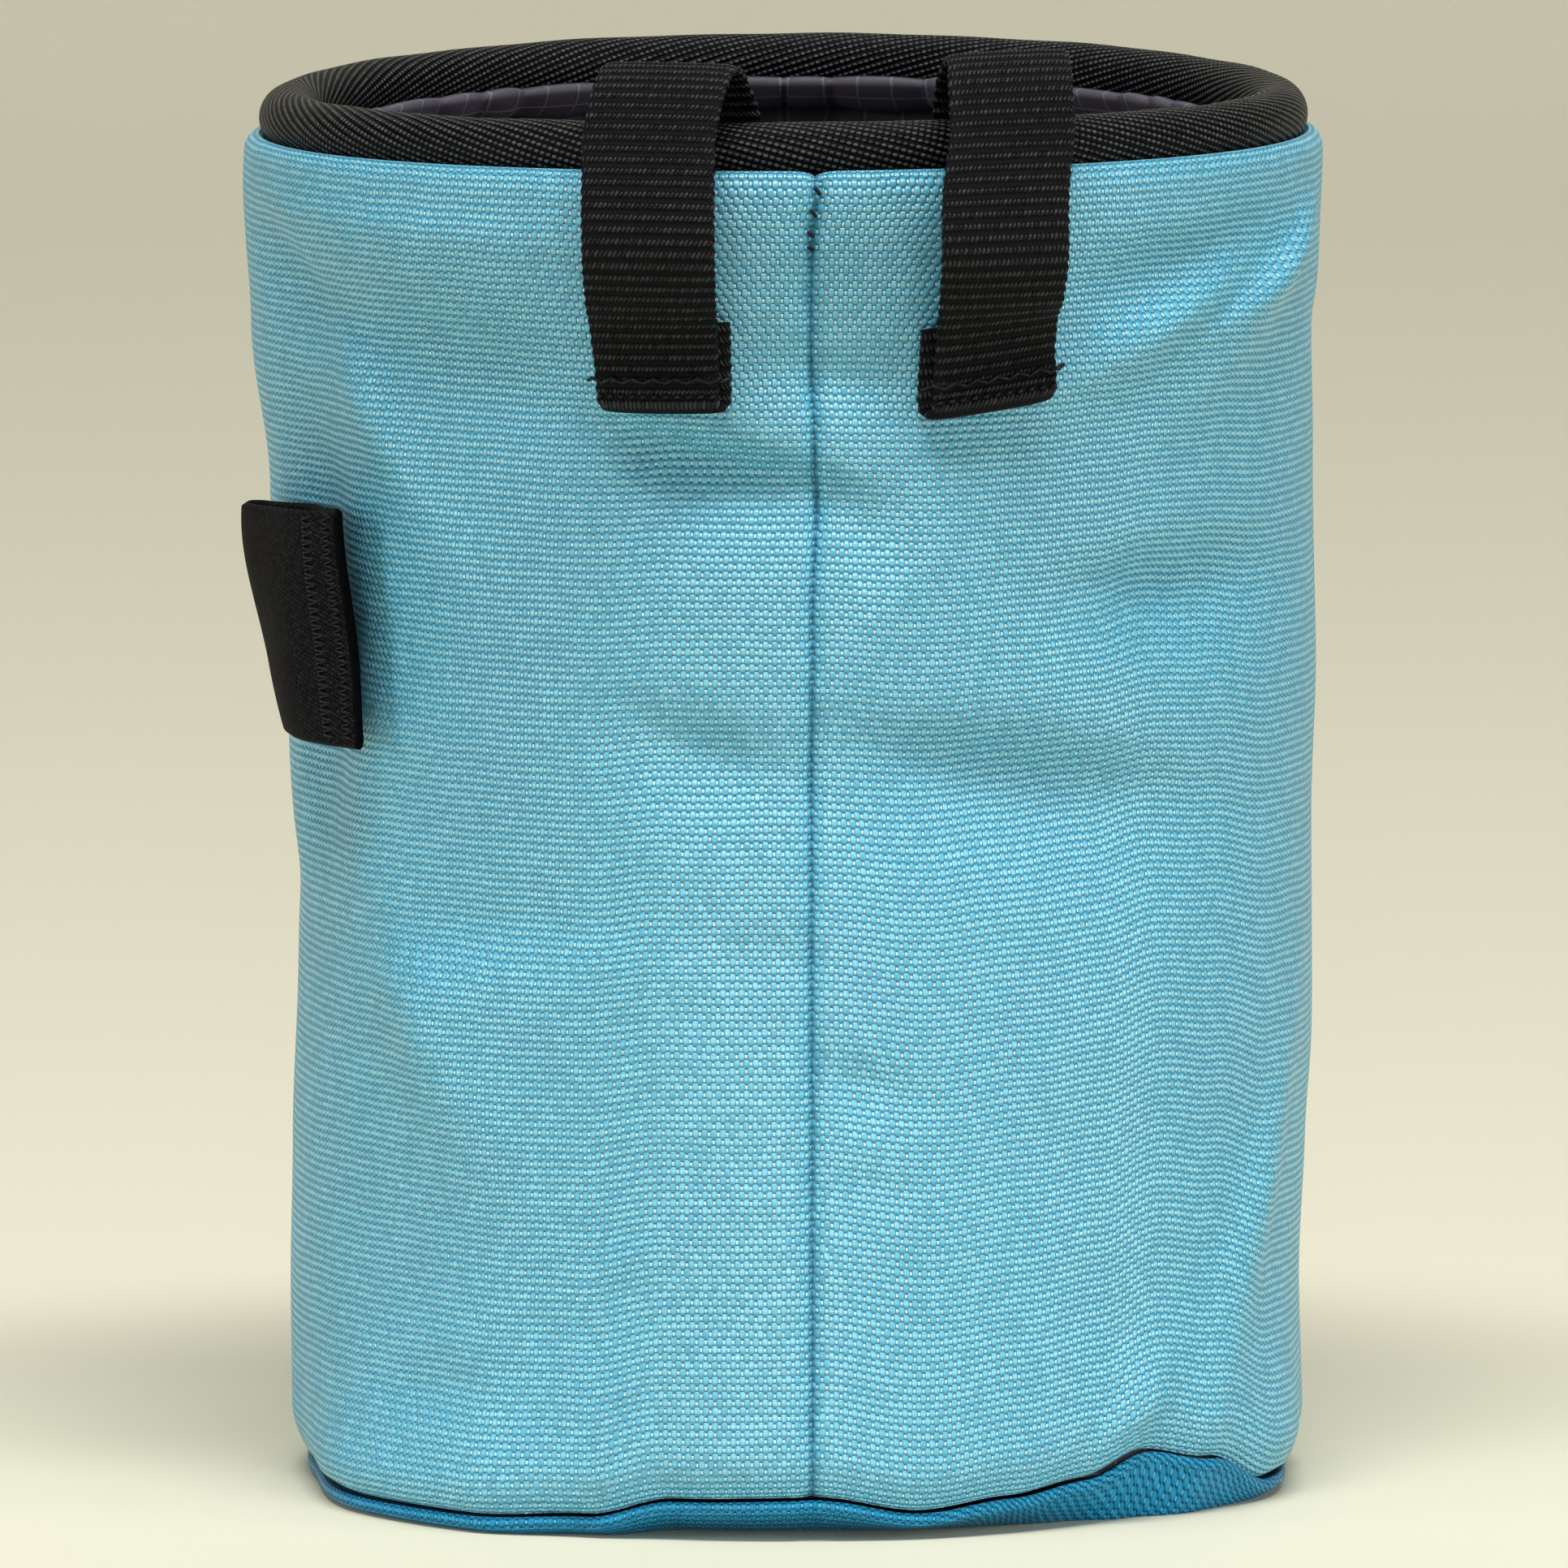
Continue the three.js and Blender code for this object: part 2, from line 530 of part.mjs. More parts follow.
// Brush loop: elastic folded in two, its ends sewn down together and its middle standing off the shell
function brushLoop() {
  const half = elasticThickness / 2;
  const inner = brushSeat + half;
  const outer = inner + elasticThickness + layerGap;
  const levels = [0, 0.25, 0.5, 0.75, 1];
  const spanAt = (level) => mix(brushSpan * 0.9, brushSpan, level);
  const turnAt = (level) => mix(brushTurn * 0.85, brushTurn, level);
  const seamAt = (level) => brushSeamAngle + brushLean * (0.5 - level);
  const crown = 0.62;
  const lean = Math.log(0.5) / Math.log(crown);
  const outerRun = [0, 0.1, 0.2, 0.3, 0.4, 0.5, 0.6, 0.7, 0.8, 0.9, 1];
  const turnRun = [30, 60, 90, 120, 150];
  const innerRun = [1, 0.8, 0.6, 0.4, 0.2, 0];
  const standing = (share, level) => {
    const end = inner + 2 * turnAt(level);
    const peak = inner + elasticThickness + mix(brushGap * 0.91, brushGap, level);
    const bulge = peak - mix(outer, end, crown);
    return mix(outer, end, share) + bulge * Math.sin(Math.PI * share ** lean) ** 0.9;
  };
  const stopsAt = (level) => {
    const turn = turnAt(level);
    const reach = seamAt(level) - spanAt(level);
    const turnMiddle = { angle: reach, off: inner + turn };
    return [
      ...outerRun.map((share) => (
        { angle: mix(seamAt(level), reach, share), off: standing(share, level), share })),
      ...turnRun.map((direction) => ({
        angle: turnMiddle.angle - THREE.MathUtils.radToDeg(turn * Math.sin(radians(direction)) / shellRadius),
        off: turnMiddle.off + turn * Math.cos(radians(direction)),
        share: 1,
      })),
      ...innerRun.map((share) => (
        { angle: mix(seamAt(level), reach, share), off: inner, share })),
    ];
  };
  const runs = levels.map(stopsAt);
  const loops = runs[0].map((_, at) => {
    const face = (turned) => levels.map((level, row) => {
      const run = runs[row];
      const stop = run[at];
      const height = brushLoopHeight + (level - 0.5) * elasticWidth - brushDroop * stop.share * level;
      const place = (item) => around(shellOutside(item.angle, height) + item.off, item.angle, height);
      const before = place(run[Math.max(at - 1, 0)]);
      const after = place(run[Math.min(at + 1, run.length - 1)]);
      const normal = new THREE.Vector3(before.y - after.y, after.x - before.x, 0).normalize();
      return place(stop).addScaledVector(normal, turned * half);
    });
    return [...face(1), ...face(-1).reverse()];
  });
  return piece('brush_loop', bodyFromLoops(loops, false), 0x131316, 0.75);
}

const chalkBag = new THREE.Group();
chalkBag.add(
  outerShell(),
  basePanel(),
  rimBinding(),
  liner(),
  beltLoop('belt_loop_left', leftLoop),
  beltLoop('belt_loop_right', rightLoop),
  brushLoop(),
);

export default chalkBag;
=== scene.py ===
# %% [markdown]
# # A chalk bag for climbing
# The bag is a soft cloth tube with a stiff taped ring in its mouth. Two loops of webbing carry it on a
# belt, and a folded piece of elastic on its side holds a brush. The packed model gives the places and
# sizes. This lesson dresses it: each cloth part gets a fine mesh of its own, with the same outline, and
# a finish that is worked out from its threads.

# %% Load the packed model
import math

import bpy
import numpy as np
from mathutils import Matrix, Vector


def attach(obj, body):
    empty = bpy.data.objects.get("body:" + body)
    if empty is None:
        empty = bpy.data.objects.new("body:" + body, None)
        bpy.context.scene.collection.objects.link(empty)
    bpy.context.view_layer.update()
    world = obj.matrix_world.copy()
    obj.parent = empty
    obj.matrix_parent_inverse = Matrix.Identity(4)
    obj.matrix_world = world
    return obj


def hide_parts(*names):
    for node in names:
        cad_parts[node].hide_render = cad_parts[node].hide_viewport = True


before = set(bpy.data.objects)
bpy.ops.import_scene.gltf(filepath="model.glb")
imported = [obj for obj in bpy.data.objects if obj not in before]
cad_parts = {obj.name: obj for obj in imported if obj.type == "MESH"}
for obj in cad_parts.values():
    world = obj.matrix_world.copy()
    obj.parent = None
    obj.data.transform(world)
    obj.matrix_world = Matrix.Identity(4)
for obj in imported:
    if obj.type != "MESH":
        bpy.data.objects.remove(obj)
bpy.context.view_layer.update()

print("nodes:", sorted(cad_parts))

# %% [markdown]
# ## Sizes
# All lengths here are in millimetres, and only the finished meshes are scaled to metres. An angle is
# measured round the bag in degrees, from the side with the belt loops towards the right. These values
# repeat the ones that the solids were built from, so that the fine meshes lie where the solids are.

# %% Sizes of the bag
MM = 0.001
BAG_HEIGHT = 170
SHELL_RADIUS = 65.2
SHELL_WALL = 1.6
LINER_WALL = 1.0
BASE_WALL = 1.5
RING_HALF = 3.75
RING_RADIUS = 59.75
RING_HEIGHT = BAG_HEIGHT - RING_HALF
RING_LEAN = 0.3
RING_SAG = 0.9
LIP_DROP = 1.75
LIP_SHOULDER = 3.2
LIP_TUCK = -60
SHELL_TOP = RING_HEIGHT - LIP_DROP
SEAM_ANGLE = 3.3
SEAM_SINK = 0.8
SEAM_HALF = 1.2
SEAM_SLIT_SINK = 0.55
SEAM_SLIT_HALF = 0.45
RIPPLE_DEPTH = 0.07
RIPPLE_REACH = 3.0
SEAM_DRIFT = {
    "height": (0, 50, 70, 90, 113, 125, 130, 146, 157, 163, 170),
    "shift": (-0.1, -0.2, -0.3, -0.2, -0.1, 0.6, 0.2, -0.4, -0.4, 0.4, 0.5),
}
HEM_CURL = 2.2
HEM_CURL_HEIGHT = 6
HEM_LIFT = 0.2
FOLD_FADE = 12
FOOT_FADE = 20
SEWN_GAP = 0.3
LAYER_GAP = 0.3
print("shell top", SHELL_TOP, "mm, ring middle", RING_HEIGHT, "mm")

# %% [markdown]
# ## Tables of the outline and the hem
# A soft form is easiest to steer through a few tables. The outline gives the half widths of the tube at
# some heights, as shares of the shell's radius. The hem line says how high the lower seam lifts off the
# floor, where the base stops lying flat, and where the foot of the bag swells.

# %% Outline, as shares of the shell's radius and height
OUTLINE = {
    "up": (0.00, 0.05, 0.14, 0.25, 0.37, 0.49, 0.61, 0.73, 0.85, 0.94, 1.00),
    "left": (0.918, 0.920, 0.922, 0.917, 0.907, 0.922, 0.928, 0.963, 0.998, 1.006, 1.000),
    "right": (0.957, 0.960, 0.959, 0.970, 0.984, 0.983, 0.993, 0.990, 0.998, 0.998, 1.000),
    "front": (0.945, 0.950, 0.955, 0.962, 0.968, 0.972, 0.978, 0.980, 0.990, 0.998, 1.000),
    "back": (0.940, 0.950, 0.962, 0.970, 0.972, 0.962, 0.968, 0.982, 0.992, 1.000, 1.000),
}
HEM_LINE = {
    "angle": (-180, -150, -115, -80, -53, -36, -23, -13, 4, 16, 27, 37, 45, 54, 66, 85, 120, 155, 180),
    "rise": (0.014, 0.004, 0.009, 0.002, 0.002, 0.002, 0.005, 0.018, 0.020, 0.009, 0.016, 0.024, 0.040,
             0.030, 0.005, 0.002, 0.008, 0.003, 0.014),
    "floor": (0.80, 0.86, 0.84, 0.88, 0.98, 0.97, 0.88, 0.77, 0.76, 0.78, 0.80, 0.83, 0.88, 0.93, 0.95,
              0.90, 0.86, 0.86, 0.80),
    "swell": (0, 0.01, 0, 0, 0.08, 0.08, 0.02, 0, 0, 0, 0, 0, 0.02, 0.06, 0.06, 0.01, 0, 0.01, 0),
}
print("outline rows:", len(OUTLINE["up"]), "hem rows:", len(HEM_LINE["angle"]))

# %% [markdown]
# ## Folds
# Cloth that stands up by itself sags into long soft ridges and valleys. They could be sculpted by hand or
# left to a cloth simulation, but a short list of soft strokes is easier to steer and comes out the same
# each time. A stroke has a place, a tilt, a reach along its line, a flank above and one below, and a
# depth, which is negative for a valley. The main folds repeat those of the solids. The fine ones are
# shallower and are only in this dressed model.

# %% Folds of the cloth: angle and tilt in degrees, up as a share of the height, the rest of the radius
FOLD_COLUMNS = ("angle", "up", "tilt", "reach", "above", "below", "depth")
MAIN_FOLDS = (
    (-63, 0.882, -30, 0.26, 0.060, 0.105, -0.031),
    (-36, 0.834, -8, 0.24, 0.105, 0.090, -0.026),
    (-8, 0.780, -16, 0.22, 0.067, 0.134, -0.034),
    (-9, 0.571, -18, 0.20, 0.075, 0.112, -0.031),
    (24, 0.559, -9, 0.36, 0.082, 0.150, -0.031),
    (50, 0.679, -4, 0.32, 0.060, 0.125, -0.026),
    (48, 0.920, 8, 0.26, 0.055, 0.100, -0.026),
    (64, 0.890, 34, 0.30, 0.050, 0.065, 0.030),
    (10, 0.838, -3, 0.10, 0.045, 0.052, -0.013),
    (9, 0.740, -40, 0.12, 0.055, 0.060, -0.016),
    (13, 0.701, 50, 0.20, 0.060, 0.060, 0.012),
    (-44, 0.354, -52, 0.28, 0.090, 0.105, 0.027),
    (-40, 0.425, -2, 0.18, 0.060, 0.070, -0.016),
    (-3, 0.431, -4, 0.10, 0.040, 0.067, -0.012),
    (9, 0.335, -25, 0.10, 0.040, 0.067, -0.013),
    (-38, 0.945, 2, 0.28, 0.070, 0.065, 0.013),
    (61, 0.200, 66, 0.26, 0.060, 0.050, 0.015),
    (43, 0.090, 58, 0.12, 0.060, 0.060, 0.020),
    (-44, 0.100, 10, 0.16, 0.050, 0.060, -0.014),
    (-71, 0.660, 88, 0.48, 0.170, 0.170, -0.070),
    (-98, 0.480, -24, 0.30, 0.090, 0.120, -0.022),
    (102, 0.800, -28, 0.30, 0.070, 0.110, -0.026),
    (112, 0.380, 30, 0.36, 0.100, 0.110, 0.022),
    (150, 0.640, 14, 0.40, 0.070, 0.140, -0.030),
    (178, 0.840, -10, 0.34, 0.080, 0.120, -0.024),
    (-158, 0.520, -16, 0.34, 0.070, 0.130, -0.030),
    (-135, 0.780, 24, 0.28, 0.070, 0.100, -0.024),
    (172, 0.300, 6, 0.30, 0.080, 0.120, -0.020),
    (-132, 0.240, 48, 0.28, 0.090, 0.090, 0.024),
)
FINE_FOLDS = (
    (0, 0.840, 0, 1.20, 0.240, 0.600, -0.026),
    (-45, 0.868, -11, 0.38, 0.080, 0.560, -0.026),
    (-54, 0.812, -50, 0.26, 0.060, 0.080, 0.020),
    (-47, 0.955, 0, 0.36, 0.020, 0.030, 0.005),
    (4, 0.850, 0, 0.16, 0.060, 0.060, -0.010),
    (-8, 0.788, -14, 0.26, 0.034, 0.100, -0.024),
    (46, 0.880, 22, 0.26, 0.050, 0.060, 0.030),
    (62, 0.900, 27, 0.22, 0.020, 0.040, 0.019),
    (52, 0.690, 2, 0.26, 0.070, 0.110, -0.026),
    (50, 0.740, 0, 0.40, 0.240, 0.400, -0.010),
    (28, 0.555, -13, 0.50, 0.200, 0.280, -0.016),
    (30, 0.545, -9, 0.40, 0.070, 0.180, -0.020),
    (-7, 0.572, -18, 0.16, 0.060, 0.090, -0.006),
    (-38, 0.445, 6, 0.40, 0.480, 0.080, -0.024),
    (-40, 0.425, -2, 0.18, 0.060, 0.300, 0.012),
    (-52, 0.100, 0, 0.34, 0.520, 0.220, -0.022),
    (9, 0.335, -22, 0.11, 0.050, 0.060, -0.004),
    (9, 0.262, -20, 0.09, 0.040, 0.060, -0.006),
    (-14, 0.215, 24, 0.30, 0.030, 0.030, 0.003),
    (66, 0.230, 66, 0.30, 0.060, 0.060, 0.012),
    (2, 0.965, 0, 0.06, 0.020, 0.030, -0.006),
    (36, 0.060, 60, 0.06, 0.016, 0.020, -0.006),
    (58, 0.060, -58, 0.06, 0.016, 0.020, -0.006),
)
FINE_DEPTH = 1.6
print("folds:", len(MAIN_FOLDS), "main and", len(FINE_FOLDS), "fine")

# %% [markdown]
# ## Helpers for curves and tables
# Numpy works on whole grids of points at once, so each helper takes arrays. A table is read between its
# rows with an eased step, which keeps the surface smooth where the rows meet.

# %% Small helpers
def share(value, start, end):
    return np.clip((np.asarray(value, float) - start) / (end - start), 0, 1)


def ease(t):
    return t * t * (3 - 2 * t)


def mix(a, b, t):
    return a + (b - a) * t


def turn_between(start, end):
    """The shorter way round from one angle to another, in degrees."""
    return (np.asarray(end, float) - start + 540) % 360 - 180


def read_table(table, key, value):
    """Every other column of a table at some values of one column."""
    stops = np.array(table[key], float)
    value = np.clip(value, stops[0], stops[-1])
    after = np.clip(np.searchsorted(stops, value), 1, len(stops) - 1)
    t = ease(share(value, stops[after - 1], stops[after]))
    columns = {name: np.array(numbers, float) for name, numbers in table.items() if name != key}
    return {name: mix(numbers[after - 1], numbers[after], t) for name, numbers in columns.items()}


def around(radius, angle, height):
    """Points at a radius, an angle in degrees and a height."""
    turn = np.radians(angle)
    return np.stack(np.broadcast_arrays(radius * np.sin(turn), -radius * np.cos(turn), height), -1)


print("a quarter turn right lies at", around(1.0, 90.0, 0.0).round(3))

# %% [markdown]
# ## The surface of the shell
# The shell is a radius for every angle and height: an oval section, the folds on top of it, a curl at
# the hem and a groove at the vertical seam. Working it out by a formula keeps every mesh that lies on
# the cloth, such as a strap or a stitch, exactly on its surface.

# %% Radius of the shell
def oval_radius(angle, height):
    row = read_table(OUTLINE, "up", np.asarray(height, float) / SHELL_TOP)
    across, along = np.sin(np.radians(angle)), np.cos(np.radians(angle))
    side = np.where(across < 0, row["left"], row["right"])
    face = np.where(along > 0, row["front"], row["back"])
    swell = read_table(HEM_LINE, "angle", turn_between(0, angle))["swell"]
    foot = swell * np.exp(-((height / FOOT_FADE) ** 2))
    return SHELL_RADIUS * (1 + foot) / np.hypot(across / side, along / face)


def fold_relief(angle, height, folds):
    relief = 0.0
    for values in folds:
        fold = dict(zip(FOLD_COLUMNS, values))
        across = np.radians(turn_between(fold["angle"], angle)) * SHELL_RADIUS
        up = height - fold["up"] * SHELL_TOP
        tilt = math.radians(fold["tilt"])
        along = across * math.cos(tilt) + up * math.sin(tilt)
        off = up * math.cos(tilt) - across * math.sin(tilt)
        flank = np.where(off > 0, fold["above"], fold["below"]) * SHELL_RADIUS
        fade = np.exp(-((along / (fold["reach"] * SHELL_RADIUS)) ** 2) - (off / flank) ** 2)
        relief = relief + fold["depth"] * SHELL_RADIUS * fade
    return relief


def hem_height(angle):
    row = read_table(HEM_LINE, "angle", turn_between(0, angle))
    return BASE_WALL + SEWN_GAP + HEM_LIFT + row["rise"] * BAG_HEIGHT


def seam_line(height):
    """Angle of the seam, which wanders a little from side to side."""
    return SEAM_ANGLE + np.degrees(read_table(SEAM_DRIFT, "height", height)["shift"] / SHELL_RADIUS)


def fold_share(height, hem):
    above_hem = ease(share(height, hem, hem + HEM_CURL_HEIGHT))
    return above_hem * ease(share(SHELL_TOP - height, LIP_SHOULDER, FOLD_FADE))


def shell_outside(angle, height, fine=True):
    hem = hem_height(angle)
    curl = HEM_CURL * (1 - share(height, hem, hem + HEM_CURL_HEIGHT)) ** 2
    across = np.radians(turn_between(seam_line(height) if fine else SEAM_ANGLE, angle)) * SHELL_RADIUS
    seam = SEAM_SINK * np.exp(-((across / SEAM_HALF) ** 2))
    relief = fold_relief(angle, height, MAIN_FOLDS)
    if fine:
        relief = relief + FINE_DEPTH * fold_relief(angle, height, FINE_FOLDS)
        seam = seam + SEAM_SLIT_SINK * np.exp(-((across / SEAM_SLIT_HALF) ** 2))
        seam = seam + seam_ripple(across, height)
    return oval_radius(angle, height) + relief * fold_share(height, hem) - curl - seam


def seam_ripple(across, height):
    """Small ripples that the stitches pull into the cloth on both sides of the seam."""
    side = np.sign(across)
    ripple = np.sin(height / 1.55 + 0.9 * side) + 0.6 * np.sin(height / 0.93 + 2 * side)
    return RIPPLE_DEPTH * ripple * np.exp(-np.abs(across) / RIPPLE_REACH)


print("front radius half way up:", float(np.round(shell_outside(0.0, 80.0), 2)), "mm")

# %% [markdown]
# ## The camera
# The view is a long lens far away, a few degrees above the level of the bag. The picture is square, so
# the lens follows from the wanted width and the sensor.

# %% Place the camera
CAMERA_PITCH = 7.07
CAMERA_AWAY = 2600
AIM_HEIGHT = 83.75
LENS = 491.7
SENSOR = 36


def make_camera():
    data = bpy.data.cameras.new("camera")
    camera = bpy.data.objects.new("camera", data)
    bpy.context.scene.collection.objects.link(camera)
    pitch = math.radians(CAMERA_PITCH)
    back = (0, -CAMERA_AWAY * math.cos(pitch), AIM_HEIGHT + CAMERA_AWAY * math.sin(pitch))
    camera.location = [value * MM for value in back]
    camera.rotation_euler = (math.radians(90) - pitch, 0, 0)
    data.lens = LENS
    data.sensor_width = SENSOR
    data.clip_end = 100
    bpy.context.scene.camera = camera


make_camera()
print("camera", CAMERA_AWAY, "mm away, pitched", CAMERA_PITCH, "degrees down")

# %% [markdown]
# ## Meshes from grids
# Each part is a grid of points, row by row, closed into a tube, a ring or a strip. The grid also carries
# thread coordinates: millimetres across and along the cloth. They go into a UV map, so that a weave
# follows the cloth wherever it bends.

# %% Build a mesh from a grid
def grid_piece(name, points, across, along, ring_rows=False, ring_columns=True, caps=False):
    """points is rows x columns x 3. across and along have one more row or column where a way is closed."""
    rows, columns = points.shape[:2]
    numbers = np.arange(rows * columns).reshape(rows, columns)
    if ring_rows:
        numbers = np.vstack([numbers, numbers[:1]])
    if ring_columns:
        numbers = np.hstack([numbers, numbers[:, :1]])
    corners = [numbers[:-1, :-1], numbers[:-1, 1:], numbers[1:, 1:], numbers[1:, :-1]]
    faces = np.stack(corners, -1).reshape(-1, 4)
    high, wide = numbers.shape
    uv = np.stack(np.broadcast_arrays(across, along), -1).astype(float)[:high, :wide]
    spots = [uv[:-1, :-1], uv[:-1, 1:], uv[1:, 1:], uv[1:, :-1]]
    spots = np.stack(spots, 2).reshape(-1, 4, 2)
    vertices = points.reshape(-1, 3) * MM
    a, b, c, d = (vertices[faces[:, i]] for i in range(4))
    volume = np.einsum("ij,ij->", a, np.cross(b, c)) + np.einsum("ij,ij->", a, np.cross(c, d))
    if volume < 0:
        faces, spots = faces[:, ::-1], spots[:, ::-1]
    polygons = [tuple(face) for face in faces.tolist()]
    if caps:
        first, last = numbers[0, :columns].tolist(), numbers[-1, :columns].tolist()
        polygons += [tuple(last), tuple(first[::-1])] if volume >= 0 else [tuple(last[::-1]), tuple(first)]
    mesh = bpy.data.meshes.new(name)
    mesh.from_pydata(vertices.tolist(), [], polygons)
    layer = mesh.uv_layers.new(name="threads")
    flat = np.zeros((len(mesh.loops), 2))
    flat[:len(spots) * 4] = spots.reshape(-1, 2)
    layer.data.foreach_set("uv", flat.ravel())
    mesh.polygons.foreach_set("use_smooth", np.ones(len(mesh.polygons), bool))
    piece = bpy.data.objects.new(name, mesh)
    bpy.context.scene.collection.objects.link(piece)
    print(name, len(polygons), "faces")
    return piece


def run_length(points):
    """How far each row of points lies along its column, in millimetres."""
    steps = np.linalg.norm(np.diff(points, axis=0), axis=2)
    return np.vstack([np.zeros((1, points.shape[1])), np.cumsum(steps, axis=0)])


def finish_piece(piece, finish, slot, *nodes):
    piece.data.materials.append(finish)
    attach(piece, "root")
    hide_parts(*nodes)


SAMPLE_COLUMN = np.array([[[0, 0, 0]], [[0, 0, 2]], [[0, 3, 6]]], float)
print("lengths along a sample column:", run_length(SAMPLE_COLUMN).ravel(), "mm")

# %% [markdown]
# ## Finishes as expressions
# A cloth's pattern is arithmetic on its thread coordinates. Writing that as Python expressions reads far
# better than wiring nodes one by one, so a small class wraps a socket, and each sum on it adds a Math
# node. Colours and vectors go through Mix nodes instead, because a Math node turns a colour grey.

# %% Wrap a socket so that sums on it add Math nodes
class Socket:
    def __init__(self, finish, socket):
        self.finish = finish
        self.socket = socket

    def sum(self, operation, *others):
        return self.finish.node("ShaderNodeMath", {"operation": operation}, [self, *others])

    def __add__(self, other):
        return self.sum("ADD", other)

    def __sub__(self, other):
        return self.sum("SUBTRACT", other)

    def __rsub__(self, other):
        return self.finish.node("ShaderNodeMath", {"operation": "SUBTRACT"}, [other, self])

    def __mul__(self, other):
        return self.sum("MULTIPLY", other)

    def __truediv__(self, other):
        return self.sum("DIVIDE", other)

    def __mod__(self, other):
        return self.sum("FLOORED_MODULO", other)

    def __abs__(self):
        return self.sum("ABSOLUTE")

    __radd__ = __add__
    __rmul__ = __mul__

    def floor(self):
        return self.sum("FLOOR")

    def root(self):
        return self.sum("SQRT")

    def least(self, other):
        return self.sum("MINIMUM", other)

    def most(self, other):
        return self.sum("MAXIMUM", other)

    def cosine(self):
        return self.sum("COSINE")

    def step(self, start, end):
        """0 below start, 1 above end, and smooth between them."""
        settings = {"interpolation_type": "SMOOTHSTEP"}
        sockets = {"Value": self, "From Min": start, "From Max": end}
        return self.finish.node("ShaderNodeMapRange", settings, sockets)


print("a socket also knows:", [name for name in vars(Socket) if not name.startswith("_")])

# %% [markdown]
# ## One material
# Each finish is one material with one shader. Values that stay the same all over are set on the shader's
# own sockets. What changes over the cloth is worked out from the thread coordinates, and feeds only the
# colour, the roughness and the relief. Every node comes from one method, so that the rest of the lesson
# can speak about threads and pads.

# %% One material, and the single method that adds its nodes
class Finish:
    def __init__(self, name, roughness, **constants):
        self.material = bpy.data.materials.new(name)
        self.material.use_nodes = True
        self.nodes = self.material.node_tree.nodes
        self.links = self.material.node_tree.links
        self.shader = self.nodes["Principled BSDF"]
        self.set("Roughness", roughness)
        for socket, value in constants.items():
            self.set(socket.replace("_", " "), value)

    def set(self, socket, value):
        self.join(value, self.shader.inputs[socket])

    def join(self, value, place):
        if isinstance(value, Socket):
            self.links.new(value.socket, place)
        else:
            place.default_value = value

    def node(self, kind, settings=None, sockets=None, out=0):
        """Adds a node: its settings first, then its sockets by name or in order. Gives one output."""
        made = self.nodes.new(kind)
        for name, value in (settings or {}).items():
            setattr(made, name, value)
        pairs = enumerate(sockets or []) if not isinstance(sockets, dict) else sockets.items()
        for place, value in pairs:
            self.join(value, made.inputs[place])
        return Socket(self, made.outputs[out])

    def threads(self):
        """Thread coordinates across and along the cloth, in millimetres."""
        place = self.node("ShaderNodeUVMap", {"uv_map": "threads"}, out="UV")
        split = self.node("ShaderNodeSeparateXYZ", None, [place], out="X")
        return split, Socket(self, split.socket.node.outputs["Y"])

    def place(self):
        return self.node("ShaderNodeTexCoord", out="Object")

    def cloud(self, size, detail=2.0):
        """Soft noise whose patches are about size millimetres wide."""
        sockets = {"Vector": self.place(), "Scale": 1 / (size * MM), "Detail": detail}
        return self.node("ShaderNodeTexNoise", None, sockets, out="Fac")

    def dice(self, *values):
        """A fixed random number from 0 to 1 for each whole step of the values."""
        vector = self.node("ShaderNodeCombineXYZ", None, list(values))
        settings = {"noise_dimensions": "3D"}
        return self.node("ShaderNodeTexWhiteNoise", settings, {"Vector": vector}, out="Value")

    def blend(self, factor, a, b, how="MIX"):
        """Mixes two colours."""
        settings = {"data_type": "RGBA", "blend_type": how}
        return self.node("ShaderNodeMix", settings, {0: factor, 6: a, 7: b}, out=2)

    def bump(self, height, distance):
        """A relief of some millimetres, read by the shader's normal."""
        sockets = {"Height": height, "Distance": distance * MM, "Strength": 1.0}
        self.set("Normal", self.node("ShaderNodeBump", None, sockets, out="Normal"))


def paint(red, green, blue):
    """A colour as it is read off a screen, from 0 to 255, turned into light."""
    channels = [value / 255 for value in (red, green, blue)]
    return (*[c / 12.92 if c <= 0.04045 else ((c + 0.055) / 1.055) ** 2.4 for c in channels], 1)


print("a middle grey of the screen, in light:", round(paint(128, 128, 128)[0], 3))

# %% [markdown]
# ## Woven blue cloth
# The shell is a coarse plain weave. Upright threads show as full blue pads in a brick pattern, where
# every row is shifted by half a pad. Between two pads of a row a level thread shows as a small pale dot,
# which is paler partly through its sheen, and that sheen is painted in. Each row repeats every second
# one, so two shifted lattices make the whole pattern. Pads and dots are round in the relief, and their
# glossy tops catch the light wherever the cloth leans back. The crowns of the pads get a painted
# highlight, and the gaps between pads and dots, and the seam's slit, are painted dark as shade.

# %% Finish of the blue cloth
PAD_PITCH = 1.16
ROW_PITCH = 0.94
PAD_HALF = (0.47, 0.57)
DOT_HALF = (0.23, 0.27)
SHELL_ROUND = math.tau * SHELL_RADIUS
SHELL_BLUE, SHELL_PALE, SHELL_GAP_SHADE = paint(68, 165, 196), paint(180, 224, 222), paint(20, 112, 150)
# The base's colours are darker copies of the shell's: painted shade for the underside of the bag.
SHADED_BASE_BLUE, SHADED_BASE_PALE, SHADED_BASE_GAP_SHADE = paint(0, 122, 168), paint(70, 170, 198), paint(0, 56, 86)
CLOTH_RELIEF = 0.40
THREAD_DRIFT = (0.3, 0.5)


def oval_share(x, y, half):
    """1 in the middle of an oval with a broad top, and 0 at its edge."""
    wide, high = x / half[0], y / half[1]
    wide = wide * wide
    return 1 - (wide * wide + high * high)


